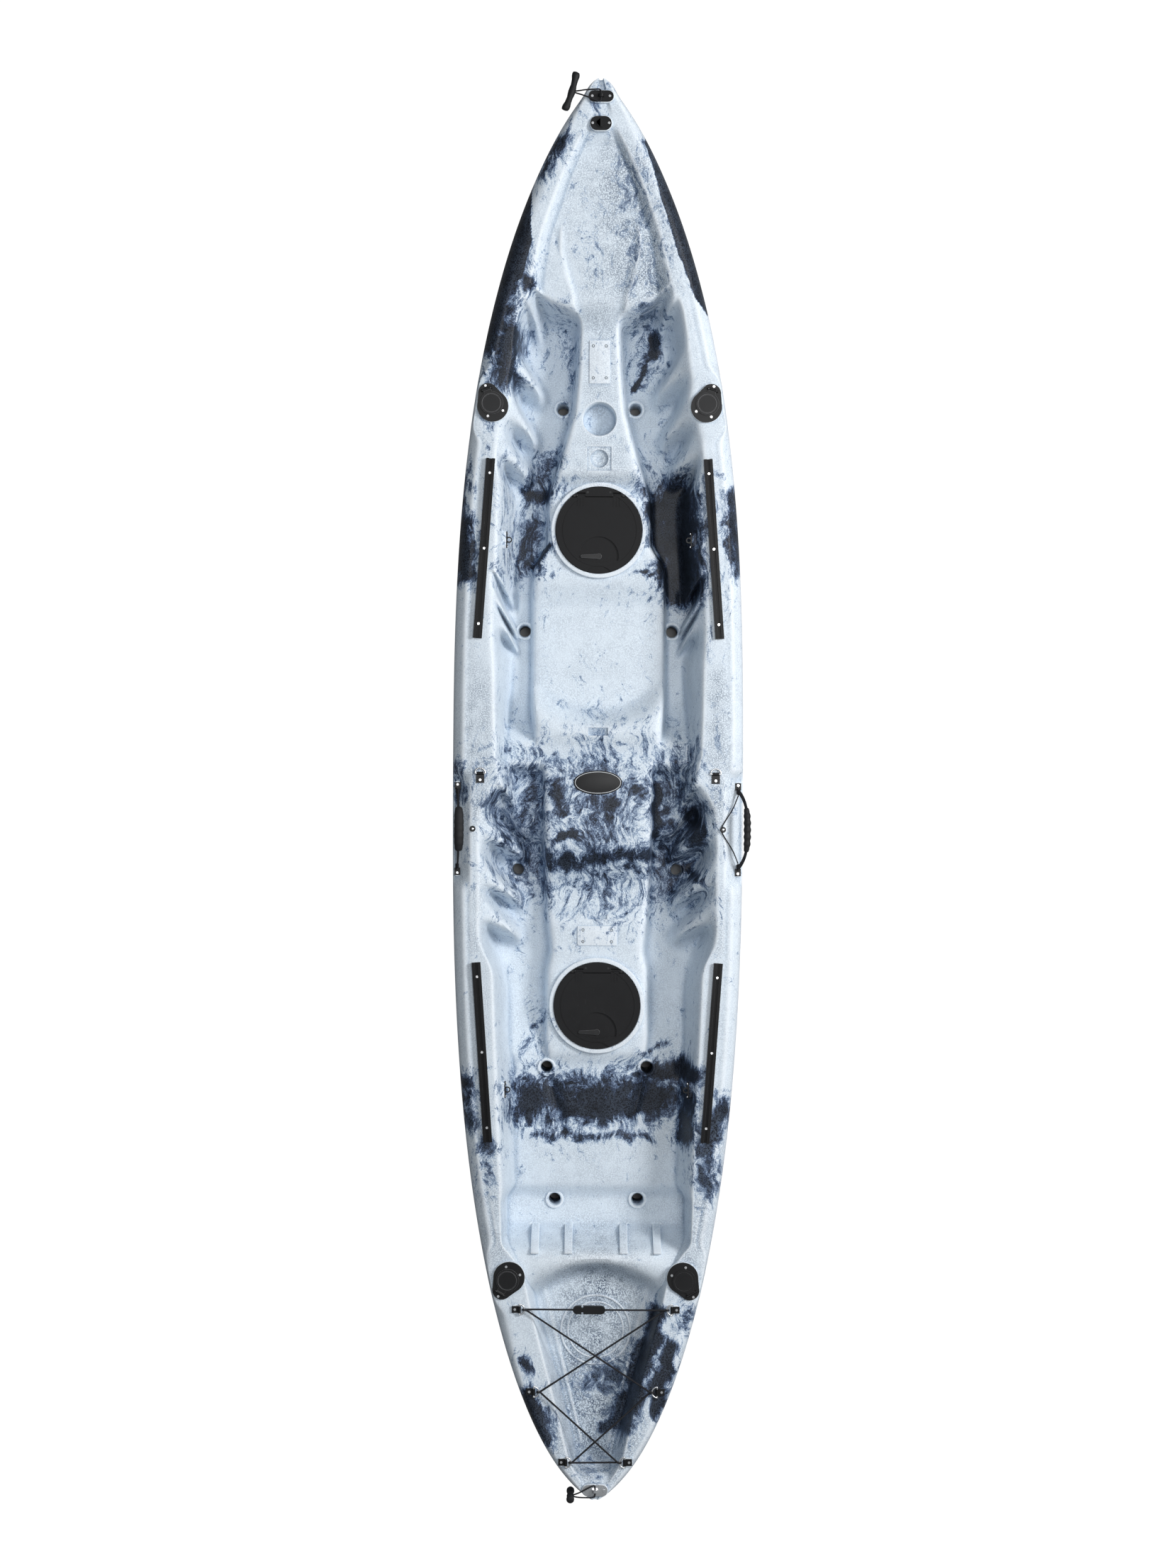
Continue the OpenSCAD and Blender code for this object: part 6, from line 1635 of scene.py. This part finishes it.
@dataclass
class Fittings:
    """Rigid fittings: each keeps its solid's form, with its edges eased and its own finish."""

    nodes: dict[str, Obj]
    bodies: dict[str, Sequence[str]]
    # Rounding of the edges, by a word of the node's name
    widths: Sequence[tuple[str, float]] = (
        ("hatch_lid", 0.8), ("hatch_ring", 0.6), ("latch_lever", 0.6), ("rod_holder", 1.0), ("rod_cap", 1.0),
        ("_track", 0.7), ("anchors", 0.5), ("buttons", 0.6), ("tabs", 0.5), ("hook", 0.8), ("pad_eye", 0.7),
        ("drain", 0.7))
    # Words of the nodes whose bevelled edges get a paler grey, a painted highlight
    worn: Sequence[str] = ("hatch_lid", "latch_lever", "rod_cap", "_track")
    # Ends of the names of the nodes that are welded, with no rounding
    welds: tuple[str, ...] = ("_deck_ring", "stern_rings")

    def finish_of(self, node: str) -> tuple[Finish, str]:
        """Choose a node's finish and material slot by its name."""
        if node == "hatch_screws":
            return Palette.BLACK, "steel"
        if "screw" in node or "pins" in node or "rings" in node or node.endswith("deck_ring"):
            return Palette.STEEL, "steel"
        if node == "stern_pad_eye":
            return Palette.STEEL, "black_plastic"
        if "track" in node:
            return Palette.TRACK, "track_plastic"
        if "lid" in node or "hatch_ring" in node:
            return Palette.LID, "black_plastic"
        return (Palette.BRASS, "brass") if node == "accessory_inserts" else (Palette.BLACK, "black_plastic")

    def width_of(self, node: str) -> float:
        """Look up the rounding of a node's edges."""
        if "screw" in node:
            return 0.0
        return next((width for word, width in self.widths if word in node), 0.0)

    def eased(self, node: str, width: float, palette: Palette) -> Obj:
        """Copy a node, round its edges and dress it.

        Args:
            node: Name of the node.
            width: Width of the rounding, in millimetres.
            palette: The materials.

        Returns:
            The finished copy.
        """
        twin = copy_of(self.nodes[node], node + "_eased")
        recalculate(twin, 0.01)
        with editing(twin):
            bpy.ops.mesh.dissolve_limited(angle_limit=math.radians(1.0))
        for hatch, x, z in HATCHES:
            if node == hatch + "_hatch_lid":
                self.press(twin, x, z)
        finish, _ = self.finish_of(node)
        # The bevels of these nodes take the paler finish, a painted highlight
        worn = any(word in node for word in self.worn)
        palette.dress(twin, *((finish, Palette.EDGE_HIGHLIGHT) if worn else (finish,)))
        round_edges(twin, width, 2, 50.0, 1 if worn else -1)
        shade(twin, 60.0)
        apply_modifier(twin, "WEIGHTED_NORMAL", keep_sharp=True)
        return twin

    def welded(self, node: str, palette: Palette) -> Obj:
        """Copy a node, weld its seams and dress it.

        Args:
            node: Name of the node.
            palette: The materials.

        Returns:
            The finished copy.
        """
        twin = copy_of(self.nodes[node], node + "_welded")
        recalculate(twin, 0.01)
        palette.dress(twin, self.finish_of(node)[0])
        shade(twin, 35.0)
        return twin

    @staticmethod
    def press(lid: Obj, x: float, z: float) -> None:
        """Press a ring and the pointed back of the latch hollow into a lid."""
        ring = turned("ring", [(99.6, 11.8), (102.6, 11.8), (102.6, 15.0), (99.6, 15.0), (99.6, 11.8)], 96)
        sweep = [54.0 - 108.0 * k / 24 for k in range(25)]
        back = [(-72.0 - 18.0 * (1.0 - (y / 54.0) ** 2), y) for y in sweep]
        hollow = block(back + [(-66.0, -50.0), (-66.0, 50.0)], 8.5, 16.0)
        for tool in (ring, hollow):
            combine(lid, move(tool, Matrix.Translation((x, 0, z))), Cut.REMOVE)

    def build(self, palette: Palette, replaced: Sequence[str]) -> None:
        """Dress every node that nothing else stands for.

        Args:
            palette: The materials.
            replaced: Nodes that other pieces stand for.
        """
        homes = {node: body for body, members in self.bodies.items() for node in members}
        for node, obj in list(self.nodes.items()):
            if node in replaced:
                continue
            finish, slot = self.finish_of(node)
            width = self.width_of(node)
            if width > 0.0 or node.endswith(self.welds):
                piece = self.eased(node, width, palette) if width > 0.0 else self.welded(node, palette)
                enter(piece, homes[node], slot, node)
            else:
                palette.dress(obj, finish)
                shade(obj, 35.0)


# Studio


@dataclass
class Studio:
    """Pale floor, soft light and a camera straight above the boat."""

    scale: float = 1.916
    centre: Pair = (18.0, 27.0)
    picture_height: int = 2212
    height: float = 7.6
    deck_level: float = 0.29
    roll: float = 0.25
    paper_glow: float = 0.88
    # Half size of the ellipse under the hull inside which the floor stops glowing; its soft edge is a painted
    # shadow
    shade_half: Pair = (1.45, 0.26)
    # Name, place, size and power of each lamp
    lamps: Sequence[tuple[str, Point, float, float]] = (
        ("key", (1.6, -4.6, 4.4), 1.8, 285.0), ("top", (0.6, -0.8, 6.5), 2.4, 150.0))
    sky: Point = (0.84, 0.93, 1.0)
    # Strength of the sky for soft light, for reflections, and what the camera sees on top
    sky_strength: Point = (0.16, 0.2, 1.1)

    def floor(self) -> None:
        """Lay the floor."""
        clear_selection()
        bpy.ops.mesh.primitive_plane_add(size=40.0, location=(0, 0, -0.001))
        plane = named(bpy.context.object, "studio_floor")
        bpy.ops.object.transform_apply(location=True, rotation=True, scale=True)
        made, g, shader, coordinates = start_material("studio_paper")
        tone = g.noise(coordinates, 2.0, 2.0)
        g.feed(shader.inputs["Base Color"], g.ramp(tone, [(0.3, (0.4, 0.4, 0.4)), (0.7, (0.43, 0.43, 0.43))]))
        g.feed(shader.inputs["Roughness"], 0.9)
        g.feed(shader.inputs["Specular IOR Level"], 0.1)
        glow = g.node("ShaderNodeEmission", {"Strength": 1.15})
        seen = g.node("ShaderNodeLightPath").outputs["Is Camera Ray"]
        # Painted shadow: the floor's glow fades out inside an ellipse under the hull, where the floor then
        # shows its rendered shade
        long, wide = self.shade_half
        ellipse = g.mapped(coordinates, (1.0 / long, 1.0 / wide, 0.0))
        reach = g.node("ShaderNodeVectorMath", {0: ellipse}, operation="LENGTH")
        open_paper = g.spread(reach.outputs["Value"], 0.0, self.paper_glow, 0.92, 1.25)
        both = g.node("ShaderNodeMixShader", {0: g.math("MULTIPLY", seen, open_paper),
                                              1: shader.outputs["BSDF"], 2: glow.outputs["Emission"]})
        g.feed(made.node_tree.nodes["Material Output"].inputs["Surface"], both.outputs[0])
        plane.data.materials.append(made)

    def lamp(self, name: str, at: Point, size: float, power: float) -> None:
        """Hang a square lamp that faces the boat."""
        data = bpy.data.lights.new(name, "AREA")
        data.shape = "SQUARE"
        data.size = size
        data.energy = power
        obj = linked(name, data)
        obj.location = at
        obj.rotation_euler = (Vector((0, 0, 0.2)) - Vector(at)).to_track_quat("-Z", "Y").to_euler()

    def lights(self) -> None:
        """Hang the lamps and set the world."""
        for lamp in self.lamps:
            self.lamp(*lamp)
        world = bpy.data.worlds.new("studio_world")
        bpy.context.scene.world = world
        world.use_nodes = True
        g = Graph(world.node_tree)
        background = world.node_tree.nodes["Background"]
        rays = g.node("ShaderNodeLightPath")
        soft, mirrored, seen = self.sky_strength
        g.feed(background.inputs["Color"], (*self.sky, 1.0))
        lit = g.spread(rays.outputs["Is Glossy Ray"], soft, mirrored)
        shown = g.spread(rays.outputs["Is Camera Ray"], 0.0, seen)
        g.feed(background.inputs["Strength"], g.math("ADD", lit, shown))

    def camera(self) -> None:
        """Set the camera above the middle of the photograph."""
        data = bpy.data.cameras.new("photo_camera")
        data.sensor_fit = "VERTICAL"
        data.sensor_height = 36.0
        span = self.picture_height * self.scale * MM
        data.lens = data.sensor_height * (self.height - self.deck_level) / span
        data.clip_end = 100.0
        obj = linked("photo_camera", data)
        obj.location = (self.centre[0] * MM, self.centre[1] * MM, self.height)
        obj.rotation_euler = (0.0, 0.0, math.radians(-90.0 + self.roll))
        bpy.context.scene.camera = obj

    def build(self) -> None:
        """Set up the whole studio."""
        self.floor()
        self.lights()
        self.camera()
        bpy.context.scene.view_settings.view_transform = "Standard"


def main() -> None:
    """Dress the boat and set up the studio."""
    logging.basicConfig(level=logging.INFO, format="%(name)s: %(message)s")
    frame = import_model()
    Studio().build()
    palette = Palette(Effects())
    level = HullLines().height
    makers: list[Maker] = [
        MouldedBody(), SternBungee(), PaddleKeepers(),
        Toggle("bow", "bow_toggle", (BOW_EYE, 0, level(BOW_EYE) + 12), (13, 78, -13), (90, 73)),
        Toggle("stern", "stern_toggle", (STERN_EYE, 0, level(STERN_EYE) + 12), (-17, 66, -15), (0, 0)),
        SideHandle(Side.PORT, 7.0, 1.38, 0.25), SideHandle(Side.STARBOARD, -24.0, 1.0, 0.9),
        *(Gasket(*hatch) for hatch in HATCHES), NamePlate(), KeeperCaps()]
    replaced = [node for maker in makers for node in maker.build(palette)]
    LOG.info("%d nodes have modelled pieces", len(replaced))
    Fittings(frame["nodes"], frame["record"]["behaviour"]["bodies"]).build(palette, replaced)


if __name__ == "__main__":
    main()
